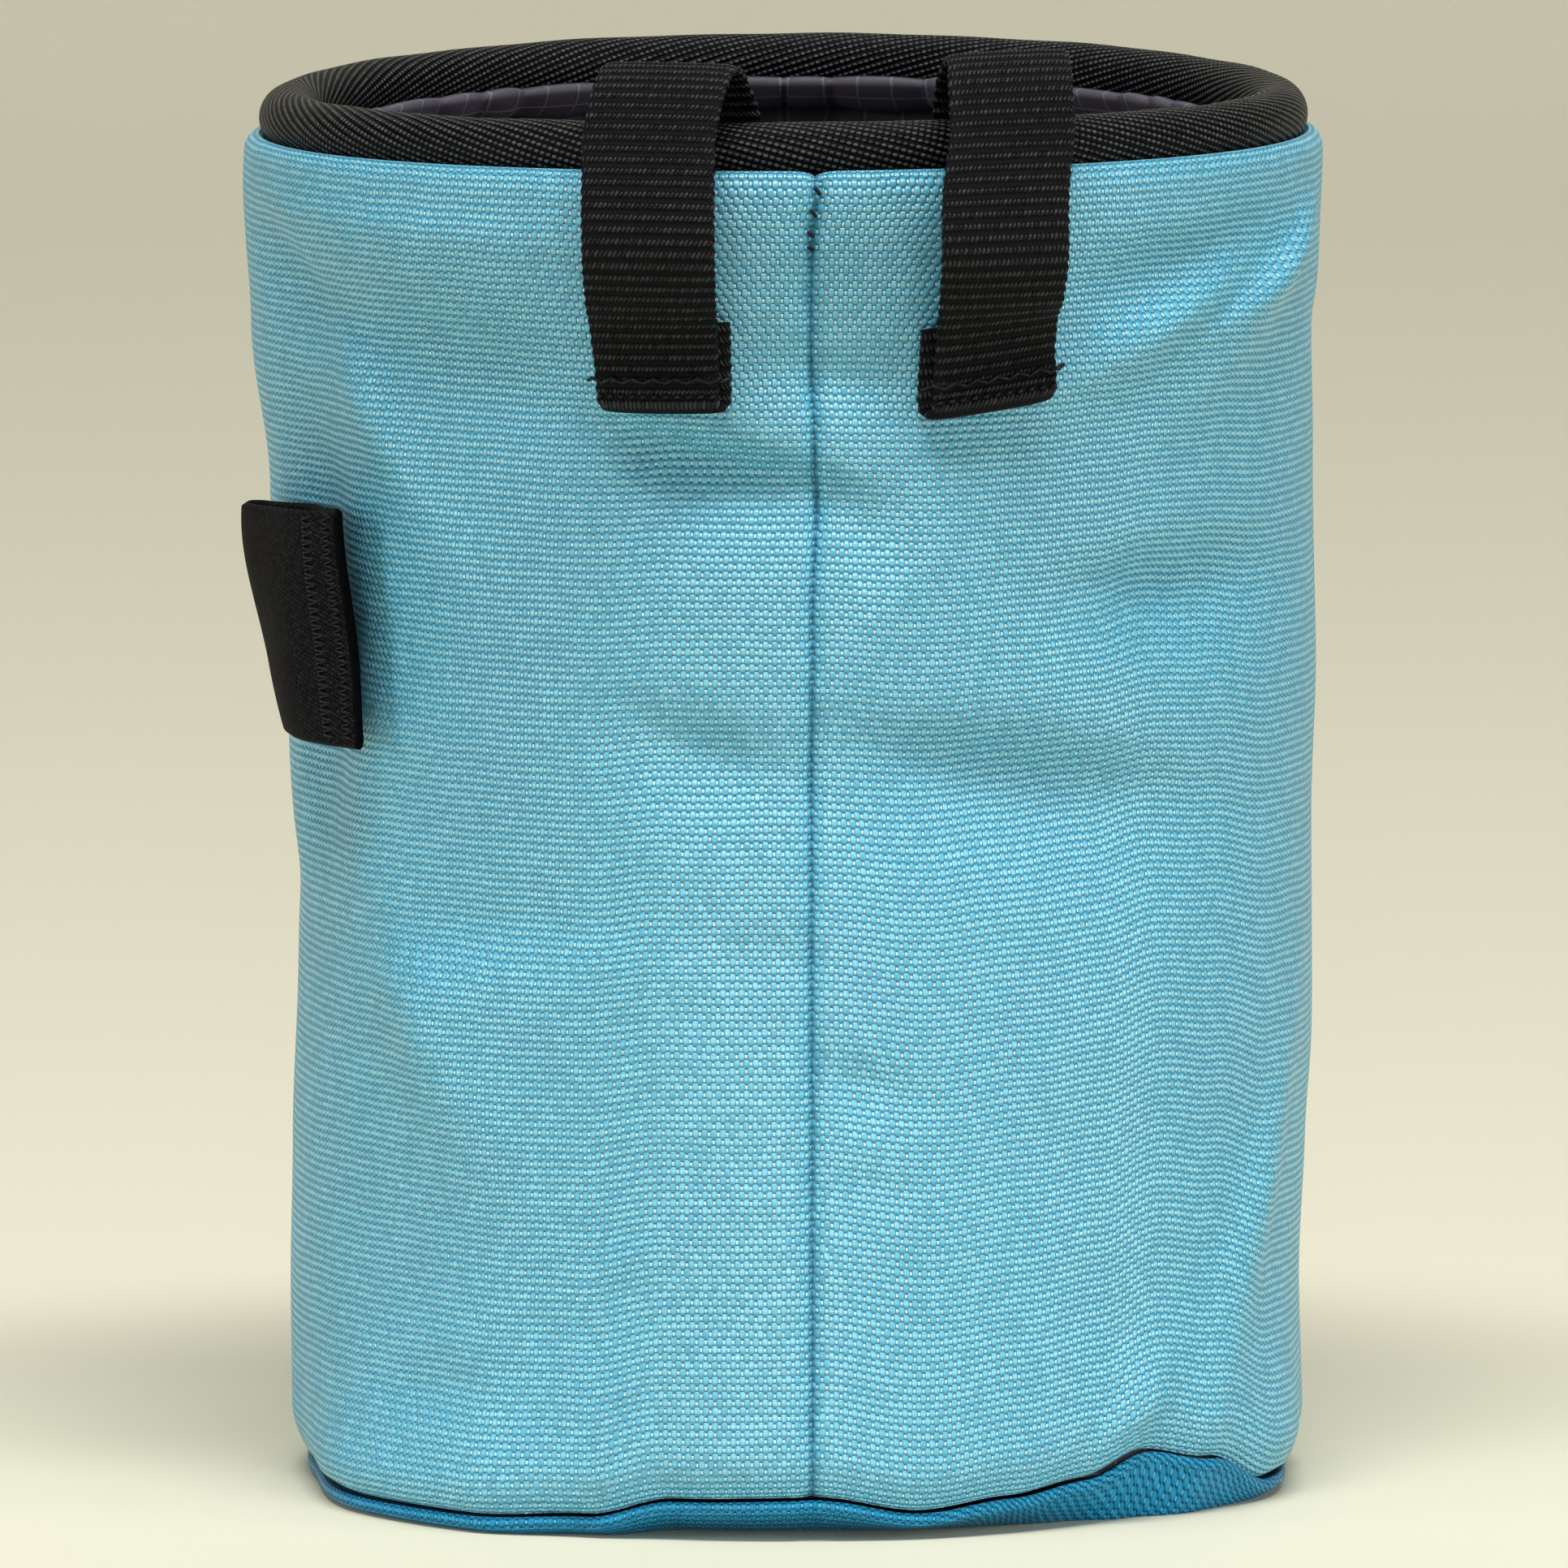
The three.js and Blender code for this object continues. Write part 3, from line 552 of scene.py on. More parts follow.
def lattice(across, along, shift):
    """Pads and dots of every second row, with the number of the pad."""
    column = across / PAD_PITCH + shift
    row = along / (2 * ROW_PITCH) + shift
    x = (column - column.floor() - 0.5) * PAD_PITCH
    y = (row - row.floor() - 0.5) * (2 * ROW_PITCH)
    pad = oval_share(x, y, PAD_HALF)
    dot = oval_share(abs(x) - PAD_PITCH / 2, y, DOT_HALF)
    return pad, dot, column.floor() + row.floor() * 7.3 + shift


def blue_cloth(name, full, pale, dark, gloss, seam=False):
    finish = Finish(name, 0.5, Specular_IOR_Level=gloss)
    across, along = finish.threads()
    drift = finish.cloud(8.0, 1.0) - 0.5
    column, row = across + drift * THREAD_DRIFT[0], along + drift * THREAD_DRIFT[1]
    pad_a, dot_a, number_a = lattice(column, row, 0.0)
    pad_b, dot_b, number_b = lattice(column, row, 0.5)
    pad, dot = pad_a.most(pad_b).most(0.0), dot_a.most(dot_b).most(0.0)
    first = (pad_a - pad_b).step(-0.001, 0.001)
    luck = finish.dice(number_a * first + number_b * (1 - first))
    height = pad.root() * (0.9 + 0.2 * luck)
    height = height.most(dot.root() * 0.62)
    shade = height.step(0.05, 0.62)
    # The level threads' dots are pale partly through their sheen, which is painted into this colour.
    thread = finish.blend(dot.step(0.0, 0.25) * (1 - pad.step(0.0, 0.2)), full, pale)
    # The crowns of the pads get a painted highlight of random strength.
    thread = finish.blend(pad.step(0.55, 1.0) * 0.25 * luck, thread, pale)
    # Along the seam's slit the colour goes to the dark gap colour: painted shade.
    if seam:
        shade = shade * across.least(SHELL_ROUND - across).step(0.02, 0.28)
    # The gaps between pads and dots get the dark colour: painted shade.
    colour = finish.blend(shade, dark, thread)
    mottle = 0.95 + 0.10 * finish.cloud(16.0, 3.0) + (luck - 0.5) * 0.14
    grey = finish.node("ShaderNodeCombineColor", None, [mottle, mottle, mottle])
    finish.set("Base Color", finish.blend(1.0, colour, grey, "MULTIPLY"))
    finish.set("Roughness", 0.62 - 0.26 * shade)
    finish.bump(height + 0.06 * finish.cloud(0.15, 2.0), CLOTH_RELIEF)
    return finish.material


SHELL_CLOTH = blue_cloth("woven_blue_cloth", SHELL_BLUE, SHELL_PALE, SHELL_GAP_SHADE, 1.0, seam=True)
SHADED_BASE_CLOTH = blue_cloth("woven_blue_cloth_painted_shade", SHADED_BASE_BLUE, SHADED_BASE_PALE, SHADED_BASE_GAP_SHADE, 0.25)
print("pads every", PAD_PITCH, "mm, rows every", ROW_PITCH, "mm")

# %% [markdown]
# ## Twill tape
# Black textiles differ only in their relief and gloss. The tape on the ring is a twill: its threads
# float over several others, and the floats line up in slanting rows of small beads. A black that
# mirrors the room looks grey, so the shader's specular level is low, and each bead's top gets its light
# from a paler colour instead.

# %% Twill tape
TWILL_ROW, TWILL_BEAD, TWILL_SLOPE = 0.86, 0.74, 0.30
TWILL_RELIEF = 0.30


def dome(x, y, half_wide, half_high):
    """A rounded pad: 1 in the middle and 0 at its oval edge."""
    away = (x / half_wide) * (x / half_wide) + (y / half_high) * (y / half_high)
    return (1 - away).most(0.0).root()


def twill_tape():
    finish = Finish("black_twill_tape", 0.42, Specular_IOR_Level=0.06)
    along, up = finish.threads()
    rib = (abs(up) - along * TWILL_SLOPE) / TWILL_ROW
    number = rib.floor()
    y = (rib - number - 0.5) * TWILL_ROW
    bead = along / TWILL_BEAD + number * 0.33
    x = (bead - bead.floor() - 0.5) * TWILL_BEAD
    pad = dome(x, y + x * 0.25, 0.36, 0.26)
    ridge = ((rib - number - 0.5) * math.tau).cosine() * 0.5 + 0.5
    height = ridge * 0.45 + pad * 0.55
    luck = finish.dice(number, bead.floor(), 2.0)
    light = pad.step(0.25, 1.0) * (0.45 + 0.75 * luck)
    finish.set("Base Color", finish.blend(light.least(1.0), paint(0, 0, 1), paint(78, 79, 82)))
    finish.set("Roughness", 0.5 - 0.24 * pad)
    finish.bump(height, TWILL_RELIEF)
    return finish.material


TAPE = twill_tape()
print("made", TAPE.name)

# %% [markdown]
# ## Ribbed webbing
# Webbing is woven so tight that its weft lies in level ribs. Each rib is a row of short strands that
# lean over, and every second row is shifted by half a strand. Every third strand sits a little lower,
# which breaks the rows up as on the real strap.

# %% Ribbed webbing
RIB_GAP = 1.4
STRAND_GAP = 0.56
WEBBING_RELIEF = 0.42


def ribbed_webbing():
    finish = Finish("black_webbing", 0.4, Specular_IOR_Level=0.14)
    across, along = finish.threads()
    rib = along / RIB_GAP
    number = rib.floor()
    y = rib - number - 0.5
    slant = across + y * 0.5 + (number % 2) * 0.28
    strand = slant / STRAND_GAP
    x = strand - strand.floor() - 0.5
    group = strand.floor() % 3
    pad = dome(x * STRAND_GAP, y * RIB_GAP, 0.29, 0.50)
    gap = 1 - group.step(1.5, 1.9) * 0.45
    height = pad * gap
    luck = finish.dice(strand.floor(), number, 5.0)
    # Each strand's top gets a paler colour: a painted highlight of random strength.
    light = pad.step(0.5, 1.0) * (0.2 + 0.8 * luck)
    finish.set("Base Color", finish.blend(light, paint(0, 0, 1), paint(50, 51, 54)))
    finish.set("Roughness", 0.75 - 0.5 * pad)
    finish.bump(height, WEBBING_RELIEF)
    return finish.material


WEBBING = ribbed_webbing()
print("made", WEBBING.name)

# %% [markdown]
# ## Knitted elastic
# The elastic of the brush loop is a fine matt knit. Its loops are too small to model, so a lattice of
# small slanting pads stands for them, in rows that run down towards the sewn side.

# %% Knitted elastic
KNIT_ROW, KNIT_LOOP, KNIT_SLOPE = 0.62, 0.52, 0.35
KNIT_RELIEF = 0.13


def knitted_elastic():
    finish = Finish("black_elastic", 0.7, Specular_IOR_Level=0.06)
    across, along = finish.threads()
    level = along - across * KNIT_SLOPE
    row = (level / KNIT_ROW).floor()
    y = level - (row + 0.5) * KNIT_ROW
    cell = (across + along * KNIT_SLOPE) / KNIT_LOOP
    x = (cell - cell.floor() - 0.5) * KNIT_LOOP
    pad = dome(x, y + x * 0.6, 0.27, 0.26)
    luck = finish.dice(cell.floor(), row, 7.0)
    # Each loop is painted lighter towards its middle: a painted highlight of random strength.
    light = pad * (0.2 + 0.8 * luck)
    finish.set("Base Color", finish.blend(light, paint(1, 1, 2), paint(40, 39, 43)))
    finish.bump(pad + 0.4 * finish.cloud(0.3, 2.0), KNIT_RELIEF)
    return finish.material


ELASTIC = knitted_elastic()
print("made", ELASTIC.name)

# %% [markdown]
# ## Thin lining
# The inside sack is a thin dark grey cloth. Thicker threads cross it in a square grid, so that a tear
# stops at the next one. The grid is a pair of lines from the thread coordinates, and the fine weave
# between them is a product of two waves.

# %% Thin lining with a square grid
GRID_GAP, GRID_LINE, FINE_THREAD = 4.6, 0.16, 0.3
LINING_RELIEF = 0.08


def grid_line(run):
    """1 on a thick thread of the grid, and 0 between them."""
    away = abs(run / GRID_GAP - (run / GRID_GAP).floor() - 0.5) * GRID_GAP
    return 1 - away.step(GRID_LINE * 0.5, GRID_LINE * 1.6)


def ripstop_lining():
    finish = Finish("dark_ripstop_lining", 0.45, Specular_IOR_Level=0.25)
    across, along = finish.threads()
    grid = grid_line(across).most(grid_line(along))
    weave_x = ((across / FINE_THREAD) * math.tau).cosine()
    weave_y = ((along / FINE_THREAD) * math.tau).cosine()
    weave = weave_x * weave_y * 0.5 + 0.5
    tone = (0.25 * weave + 0.55 * grid + 0.3 * finish.cloud(6.0, 2.0)).least(1.0)
    finish.set("Base Color", finish.blend(tone, paint(58, 55, 63), paint(122, 117, 129)))
    finish.bump(0.35 * weave + grid, LINING_RELIEF)
    return finish.material


LINING = ripstop_lining()
print("made", LINING.name)

# %% [markdown]
# ## Sewing thread
# The thread is black and a little waxed. It is so thin that a plain dark colour with a soft change in it
# is enough. Its roundness comes from the mesh.

# %% Sewing thread
THREAD_RELIEF = 0.04


def sewing_thread():
    finish = Finish("black_sewing_thread", 0.35, Specular_IOR_Level=0.2)
    finish.set("Base Color", finish.blend(finish.cloud(0.4, 1.0), paint(3, 3, 4), paint(16, 15, 17)))
    finish.bump(finish.cloud(0.12, 1.0), THREAD_RELIEF)
    return finish.material


THREAD = sewing_thread()
print("made", THREAD.name)

# %% [markdown]
# ## The outer shell
# The mesh runs up the outside, over the rounded shoulder, under the ring and down the inside. Its
# columns start at the seam, so the weave breaks exactly where the real cloth ends meet. They crowd
# together there, because the groove is narrow.

# %% Columns and rows of the shell
WALL_ROWS = 176
INSIDE_ROWS = 26
SHELL_COLUMNS = 300
ROW_CROWDING = 0.06
NEAR_SEAM = np.array([0.1, 0.22, 0.36, 0.52, 0.72, 0.98, 1.4, 1.9])
SEAM_CLEAR = 2.2
NOTCH_DEPTH = 0.7
NOTCH_HALF = 0.8


def shell_columns():
    """Angles from the seam: even all round, and close together beside the seam."""
    even = np.linspace(0, 360, SHELL_COLUMNS, endpoint=False)
    clear = (even > SEAM_CLEAR) & (even < 360 - SEAM_CLEAR)
    return np.sort(np.concatenate([even[(even < 0.01) | clear], NEAR_SEAM, 360 - NEAR_SEAM]))


def ring_middle(angle):
    side = np.sin(np.radians(angle))
    return RING_RADIUS, RING_HEIGHT + RING_LEAN * side - RING_SAG * side ** 2


def off_ring(angle, distance, direction):
    """A place off the ring's middle, by a distance and a direction in its section."""
    radius, height = ring_middle(angle)
    turn = np.radians(direction)
    return around(radius + distance * np.cos(turn), angle, height + distance * np.sin(turn))


def shell_rows():
    offsets = shell_columns()
    angle = SEAM_ANGLE + offsets
    hem = hem_height(angle)
    foot = SHELL_TOP - LIP_SHOULDER
    notch = NOTCH_DEPTH * np.exp(-np.abs(turn_between(SEAM_ANGLE, angle) / NOTCH_HALF))
    edge_round = SHELL_WALL / 2

    def wall(height, inset):
        up = np.clip((height - hem) / edge_round, 0, 1)
        rounded = edge_round * (1 - np.sqrt(up * (2 - up)))
        side = -1 if inset == 0 else 1
        drift = (seam_line(height) - SEAM_ANGLE) * np.exp(-np.abs(turn_between(SEAM_ANGLE, angle)) / 12)
        turned = angle + drift
        return around(shell_outside(turned, height) - inset + side * rounded, turned, height)

    t = np.linspace(0, 1, WALL_ROWS)
    shares = t - ROW_CROWDING * np.sin(math.tau * t) / math.tau * 2
    rows = [wall(mix(hem, foot, value), 0) for value in shares]
    lip_clear = RING_HALF + SEWN_GAP
    lip_edge = -math.degrees(math.asin(LIP_DROP / lip_clear))
    crest = off_ring(angle, lip_clear, lip_edge)
    crest_radius = np.hypot(crest[..., 0], crest[..., 1])
    foot_radius = shell_outside(angle, foot)
    for turn in np.radians(np.linspace(9, 81, 9)):
        radius = crest_radius + (foot_radius - crest_radius) * math.cos(turn)
        height = foot + (crest[..., 2] - foot) * math.sin(turn)
        rows.append(around(radius, angle, height - notch * math.sin(turn)))
    for direction in np.linspace(lip_edge, LIP_TUCK, 5):
        rows.append(off_ring(angle, lip_clear, direction) - around(0, angle, notch))
    for value in np.linspace(0.985, 0, INSIDE_ROWS):
        rows.append(wall(mix(hem, foot, value), SHELL_WALL))
    return offsets, np.array(rows)


print("columns round the shell:", len(shell_columns()))

# %% [markdown]
# ## Thread coordinates of the shell
# A UV map is usually unwrapped, but a tube of cloth is cut flat, so its thread coordinates can be stated.
# Across the cloth they follow the angle, at the plain radius. Along it they follow the length of the
# wall, so the weave isn't squeezed where the cloth bends over at the top.

# %% Make the shell
offsets, points = shell_rows()
across = np.radians(np.append(offsets, 360)) * SHELL_RADIUS
length = run_length(points)
along = np.vstack([np.mean(length, axis=1, keepdims=True), [[length.mean(axis=1)[-1] + SHELL_WALL]]])
shell = grid_piece("outer_shell_cloth", points, across[None, :], along, ring_rows=True)
finish_piece(shell, SHELL_CLOTH, "blue_oxford_cloth", "outer_shell")

# %% [markdown]
# ## The base panel
# The bottom is a round disc of the same cloth, in a darker copy of its colours that is painted shade,
# as the underside of the bag gets little light. It lies flat in the middle and turns up to the seam at
# its edge, so its radius is shared out between a flat stretch and a climb. Where it shows, its threads
# run along the seam. On the right, where the cloth is puckered, they slope, which takes one more term in
# the thread coordinates.

# %% Make the base panel
PUCKER_START = 14
PUCKER_END = 34
PUCKER_SLOPE = 0.65
CLIMB_CURVE = 1.4
BASE_EDGE_ROUND = 0.35


def base_floor(angle, edge):
    """Radius at which the base stops lying flat."""
    flat = read_table(HEM_LINE, "angle", angle)["floor"] * SHELL_RADIUS
    return np.minimum(flat, edge - BASE_WALL)


def base_climb(radius, floor, edge, hem):
    """Height of the base's underside at a radius."""
    return (hem - SEWN_GAP - BASE_WALL) * share(radius, floor, edge) ** CLIMB_CURVE


def base_rows():
    angle = np.linspace(-180, 180, 288, endpoint=False)
    hem = hem_height(angle)
    edge = shell_outside(angle, hem, fine=False)
    floor = base_floor(angle, edge)

    def ring(radius, lift):
        return around(radius, angle, base_climb(radius, floor, edge, hem) + lift)

    inner = [0.01, 0.2, 0.4, 0.6, 0.8]
    outer = np.linspace(0, 1, 22)
    under = [ring(floor * value, 0) for value in inner]
    under += [ring(mix(floor, edge, value), 0) for value in outer]
    middle = BASE_WALL / 2
    lip = []
    for turn in np.radians(np.linspace(-60, 60, 5)):
        bulge = around(BASE_EDGE_ROUND * math.cos(turn), angle, middle + middle * math.sin(turn))
        lip.append(ring(edge, 0) + bulge)
    above = [ring(mix(floor, edge, value), BASE_WALL) for value in outer[::-3]]
    above += [ring(floor * value, BASE_WALL) for value in inner[::-1]]
    return np.array(under + lip + above)


points = base_rows()
length = run_length(points).mean(axis=1)
angle = np.linspace(-180, 180, 289)
across = np.radians(angle)[None, :] * SHELL_RADIUS
turned = PUCKER_SLOPE * ease(share(angle, PUCKER_START, PUCKER_END)) * ease(share(-angle, -90, -70))
along = length[:, None] + (across - math.radians(PUCKER_START) * SHELL_RADIUS) * turned
base = grid_piece("base_panel_cloth", points, across, along, caps=True)
finish_piece(base, SHADED_BASE_CLOTH, "blue_base_cloth", "base_panel")

# %% [markdown]
# ## The mouth ring
# A stiff ring is bound in twill tape. The ring is a plain torus, a little uneven where the tape is
# pulled round it. Its thread coordinates count from the top line down on both sides, so that the rows of
# beads slant away from that line towards the inside and the outside alike.

# %% Make the mouth ring
RING_COLUMNS = 420
RING_SIDES = 44
TAPE_GIVE = 0.08


def rim_rows():
    angle = np.linspace(-180, 180, RING_COLUMNS, endpoint=False)
    direction = np.linspace(-90, 270, RING_SIDES, endpoint=False)
    uneven = 0.05 * np.sin(np.radians(11 * angle)) + 0.04 * np.sin(np.radians(23 * angle + 50))
    distance = RING_HALF - TAPE_GIVE + uneven
    return angle, direction, np.array([off_ring(angle, distance, d) for d in direction])


angle, direction, points = rim_rows()
across = np.radians(np.append(angle, 180)) * RING_RADIUS
along = np.radians(90 - np.append(direction, 270)) * RING_HALF
rim = grid_piece("rim_tape", points, across[None, :], along[:, None], ring_rows=True)
finish_piece(rim, TAPE, "black_twill_tape", "rim_binding")

# %% [markdown]
# ## The lining
# The inside sack is wider than the mouth, so it is gathered under the ring. Each gather is a bulge
# between two sharp creases. They are deep at the ring and fade as the sack hangs down. Their widths are
# random numbers from a fixed seed, because even gathers would look like a machine part.

# %% Gathers of the lining
GATHER_DEPTH = 1.3
GATHER_PUFF = 2.4
GATHER_FADE = 16
LINER_EASE = 0.7
DEEPEST_FOLD = SHELL_RADIUS * max(-fold[-1] for fold in MAIN_FOLDS)
GATHER_SEED = 7
GATHER_COUNT = 40
LIP_START = -84
LIP_END = -146
LIP_RISE = 24
CORNER_RISE = 4
WALL_TOP = SHELL_TOP - 9
LINER_RADIUS = 58


def gather_stops():
    """Angles of the creases, unevenly spaced round the mouth."""
    rng = np.random.default_rng(GATHER_SEED)
    widths = rng.uniform(0.5, 1.6, GATHER_COUNT)
    return -180 + 360 * np.cumsum(widths) / widths.sum(), rng.uniform(0.5, 1.0, GATHER_COUNT)


def gather_relief(angle, height):
    stops, depths = gather_stops()
    below = np.maximum(RING_HEIGHT - RING_HALF - height, 0)
    turned = turn_between(0, angle)
    after = np.searchsorted(stops, turned) % len(stops)
    before = (after - 1) % len(stops)
    width = (stops[after] - stops[before]) % 360
    t = ((turned - stops[before]) % 360) / width
    bulge = np.sqrt(np.clip(np.sin(np.pi * np.clip(t, 0, 1)), 0, 1))
    return GATHER_PUFF * depths[after] * bulge * np.exp(-below / GATHER_FADE)


def liner_outside(angle, height):
    hem = hem_height(angle)
    curl = HEM_CURL * (1 - share(height, hem, hem + HEM_CURL_HEIGHT)) ** 2
    room = SHELL_WALL + SEWN_GAP + LINER_EASE + curl + DEEPEST_FOLD * fold_share(height, hem)
    return oval_radius(angle, height) - room - gather_relief(angle, height)


print("gathers round the mouth:", GATHER_COUNT)

# %% [markdown]
# ## Layers of the lining
# The sack is one thin wall, so its mesh is two layers: the side towards the shell, and the same rows
# again, moved in by the wall. Each layer starts in the middle of the floor, climbs the wall, and ends in
# a lip that curls round the underside of the ring. Away from the belt loops the lip climbs further.

# %% Make the lining
def liner_rows():
    angle = np.linspace(-180, 180, 480, endpoint=False)
    hem = hem_height(angle)
    edge = shell_outside(angle, hem, fine=False)
    floor = base_floor(angle, edge)

    def floor_place(value):
        radius = liner_outside(angle, hem + HEM_CURL_HEIGHT) * value
        return radius, base_climb(radius, floor, edge, hem) + BASE_WALL + SEWN_GAP

    def layer(inward, steps):
        rows = []
        for value in (0.01, 0.45, 0.86):
            radius, height = floor_place(value)
            rows.append(around(radius, angle, height + inward))
        foot = floor_place(1)[1] + CORNER_RISE
        for value in np.linspace(0, 1, steps) ** 0.7:
            height = mix(foot, WALL_TOP, value)
            rows.append(around(liner_outside(angle, height) - inward, angle, height))
        puff = gather_relief(angle, RING_HEIGHT)
        rise = ease(share(np.abs(angle), 40, 80)) * (0.5 + 0.2 * puff)
        for value in np.linspace(0, 1, 9):
            direction = mix(LIP_START, LIP_END - LIP_RISE * rise, value)
            rows.append(off_ring(angle, RING_HALF + SEWN_GAP + puff * 0.5 + inward, direction))
        return rows

    return angle, np.array(layer(0, 20) + layer(LINER_WALL, 60)[::-1])


angle, points = liner_rows()
length = run_length(points)
across = np.radians(np.append(angle, 180)) * LINER_RADIUS
liner = grid_piece("lining_sack", points, across[None, :], length.mean(axis=1)[:, None], caps=True)
finish_piece(liner, LINING, "dark_ripstop_liner", "liner")

# %% [markdown]
# ## The belt loops
# A belt loop is a length of webbing. It starts inside the mouth, climbs over the ring, stands off the
# shell so that a belt fits behind it, and ends in a folded hem that is sewn to the cloth. Its middle
# line is a smooth curve through a few stops. A stop also says how much of the shell's relief the strap
# takes on there, from none where it stands off to all of it where it is sewn down.

# %% Route of a belt loop
WEB_WIDTH = 16
WEB_THICKNESS = 1.5
LOOP_STAND = 7.6
LOOP_REACH = 34.6
LOOP_HEM = 11
LEFT_LOOP = dict(angle=-13.6, rise=6.8, inside_shift=2.6, top_shift=0.6, fold_shift=1.1, hem_tilt=0.02)
RIGHT_LOOP = dict(angle=22.6, rise=7.8, inside_shift=5.0, top_shift=4.4, fold_shift=-1.1, hem_tilt=0.12)


def smooth_curve(stops, count):
    """A smooth line through the stops, which doesn't overshoot where they lie close together."""
    stops = np.array(stops, float)
    ends = np.vstack([2 * stops[0] - stops[1], stops, 2 * stops[-1] - stops[-2]])
    gaps = np.maximum(np.linalg.norm(np.diff(ends[:, :3], axis=0), axis=1) ** 0.5, 1e-4)
    where = np.linspace(0, len(stops) - 1, count + 1)
    row = np.minimum(where.astype(int), len(stops) - 2)
    t = (where - row)[:, None]
    p0, p1, p2, p3 = (ends[row + i, :3] for i in range(4))
    d0, d1, d2 = (gaps[row + i][:, None] for i in range(3))
    start = ((p1 - p0) / d0 - (p2 - p0) / (d0 + d1) + (p2 - p1) / d1) * d1
    end = ((p2 - p1) / d1 - (p3 - p1) / (d1 + d2) + (p3 - p2) / d2) * d1
    bend, twist = 3 * (p2 - p1) - 2 * start - end, 2 * (p1 - p2) + start + end
    curve = p1 + start * t + bend * t ** 2 + twist * t ** 3
    seat = mix(stops[row, 3], stops[row + 1, 3], ease(t[:, 0]))
    tilt = mix(stops[row, 4], stops[row + 1, 4], t[:, 0])
    return np.column_stack([curve, seat, tilt])


def loop_route(shape):
    """Stops of radius, height, sideways shift, seat on the cloth and tilt."""
    half = WEB_THICKNESS / 2
    lip_reach = (RING_HALF + SEWN_GAP + LINER_WALL + GATHER_DEPTH / 2) * math.cos(math.radians(34))
    sag = WEB_WIDTH ** 2 / 8 / RING_RADIUS
    inside = RING_RADIUS - lip_reach - SEWN_GAP - sag - half
    apex = BAG_HEIGHT + shape["rise"] - half
    hem_bottom = BAG_HEIGHT - LOOP_REACH
    outer = SHELL_RADIUS + SEWN_GAP + WEB_THICKNESS + LAYER_GAP + half
    folded = SHELL_RADIUS + SEWN_GAP + half
    turn_radius = (outer - folded) / 2
    turn_height = hem_bottom + half + turn_radius
    top, inner, tilt = shape["top_shift"], shape["inside_shift"], shape["hem_tilt"]
    free = smooth_curve([
        (inside, RING_HEIGHT - RING_HALF * 1.3, inner, 0, 0),
        (inside - half * 0.4, RING_HEIGHT, inner, 0, 0),
        (mix(inside, RING_RADIUS, 0.12), mix(RING_HEIGHT, apex, 0.62), mix(top, inner, 0.4), 0, 0),
        (RING_RADIUS - RING_HALF * 0.4, apex, top, 0, 0),
        (mix(RING_RADIUS + RING_HALF, SHELL_RADIUS, 0.5), mix(RING_HEIGHT, apex, 0.76), top * 0.5, 0, 0),
        (SHELL_RADIUS + LOOP_STAND * 0.8, RING_HEIGHT - RING_HALF, 0, 0, 0),
        (SHELL_RADIUS + LOOP_STAND, RING_HEIGHT - LOOP_REACH * 0.32, 0, 0.2, 0),
        (SHELL_RADIUS + LOOP_STAND * 0.76, RING_HEIGHT - LOOP_REACH * 0.48, 0, 0.55, 0),
        (outer + LAYER_GAP * 2, hem_bottom + LOOP_HEM * 0.95, 0, 0.92, tilt * 0.6),
        (outer, hem_bottom + LOOP_HEM * 0.5, 0, 1, tilt),
        (outer, turn_height, 0, 1, tilt),
    ], 300)
    turn = np.radians(np.linspace(10, 170, 17))
    bend = np.column_stack([
        (outer + folded) / 2 + turn_radius * np.cos(turn),
        turn_height - turn_radius * np.sin(turn),
        shape["fold_shift"] * turn / math.pi,
        np.ones(17), np.full(17, tilt),
    ])
    back = np.column_stack([
        np.full(30, folded), np.linspace(turn_height, hem_bottom + LOOP_HEM, 30),
        np.full(30, shape["fold_shift"]), np.ones(30), np.full(30, tilt),
    ])
    return np.vstack([free, bend, back])


print("left loop route:", len(loop_route(LEFT_LOOP)), "stops")

# %% [markdown]
# ## Section of a belt loop
# The section is a flat strip with rounded edges, which gets thinner between two ribs. It is swept along
# the route point by point instead of with a bevelled curve, because the strap has to lie on the folds of
# the cloth where it is sewn down. Where it stands off, it hangs straight down.

# %% Section of the webbing, swept along the route
STRIP_STEP = 0.24
STRIP_SIDES = 96
EDGE_ROUND = 0.55
FACE_ROUND = 0.45
RIB_DEPTH = 0.26
EDGE_WOBBLE = 0.012


def even_route(route, gap):
    """The same route, with its stops a fixed distance apart."""
    run = np.append(0, np.cumsum(np.hypot(np.diff(route[:, 0]), np.diff(route[:, 1]))))
    count = int(run[-1] / gap)
    spots = np.linspace(0, run[-1], count)
    return spots, np.column_stack([np.interp(spots, run, column) for column in route.T])


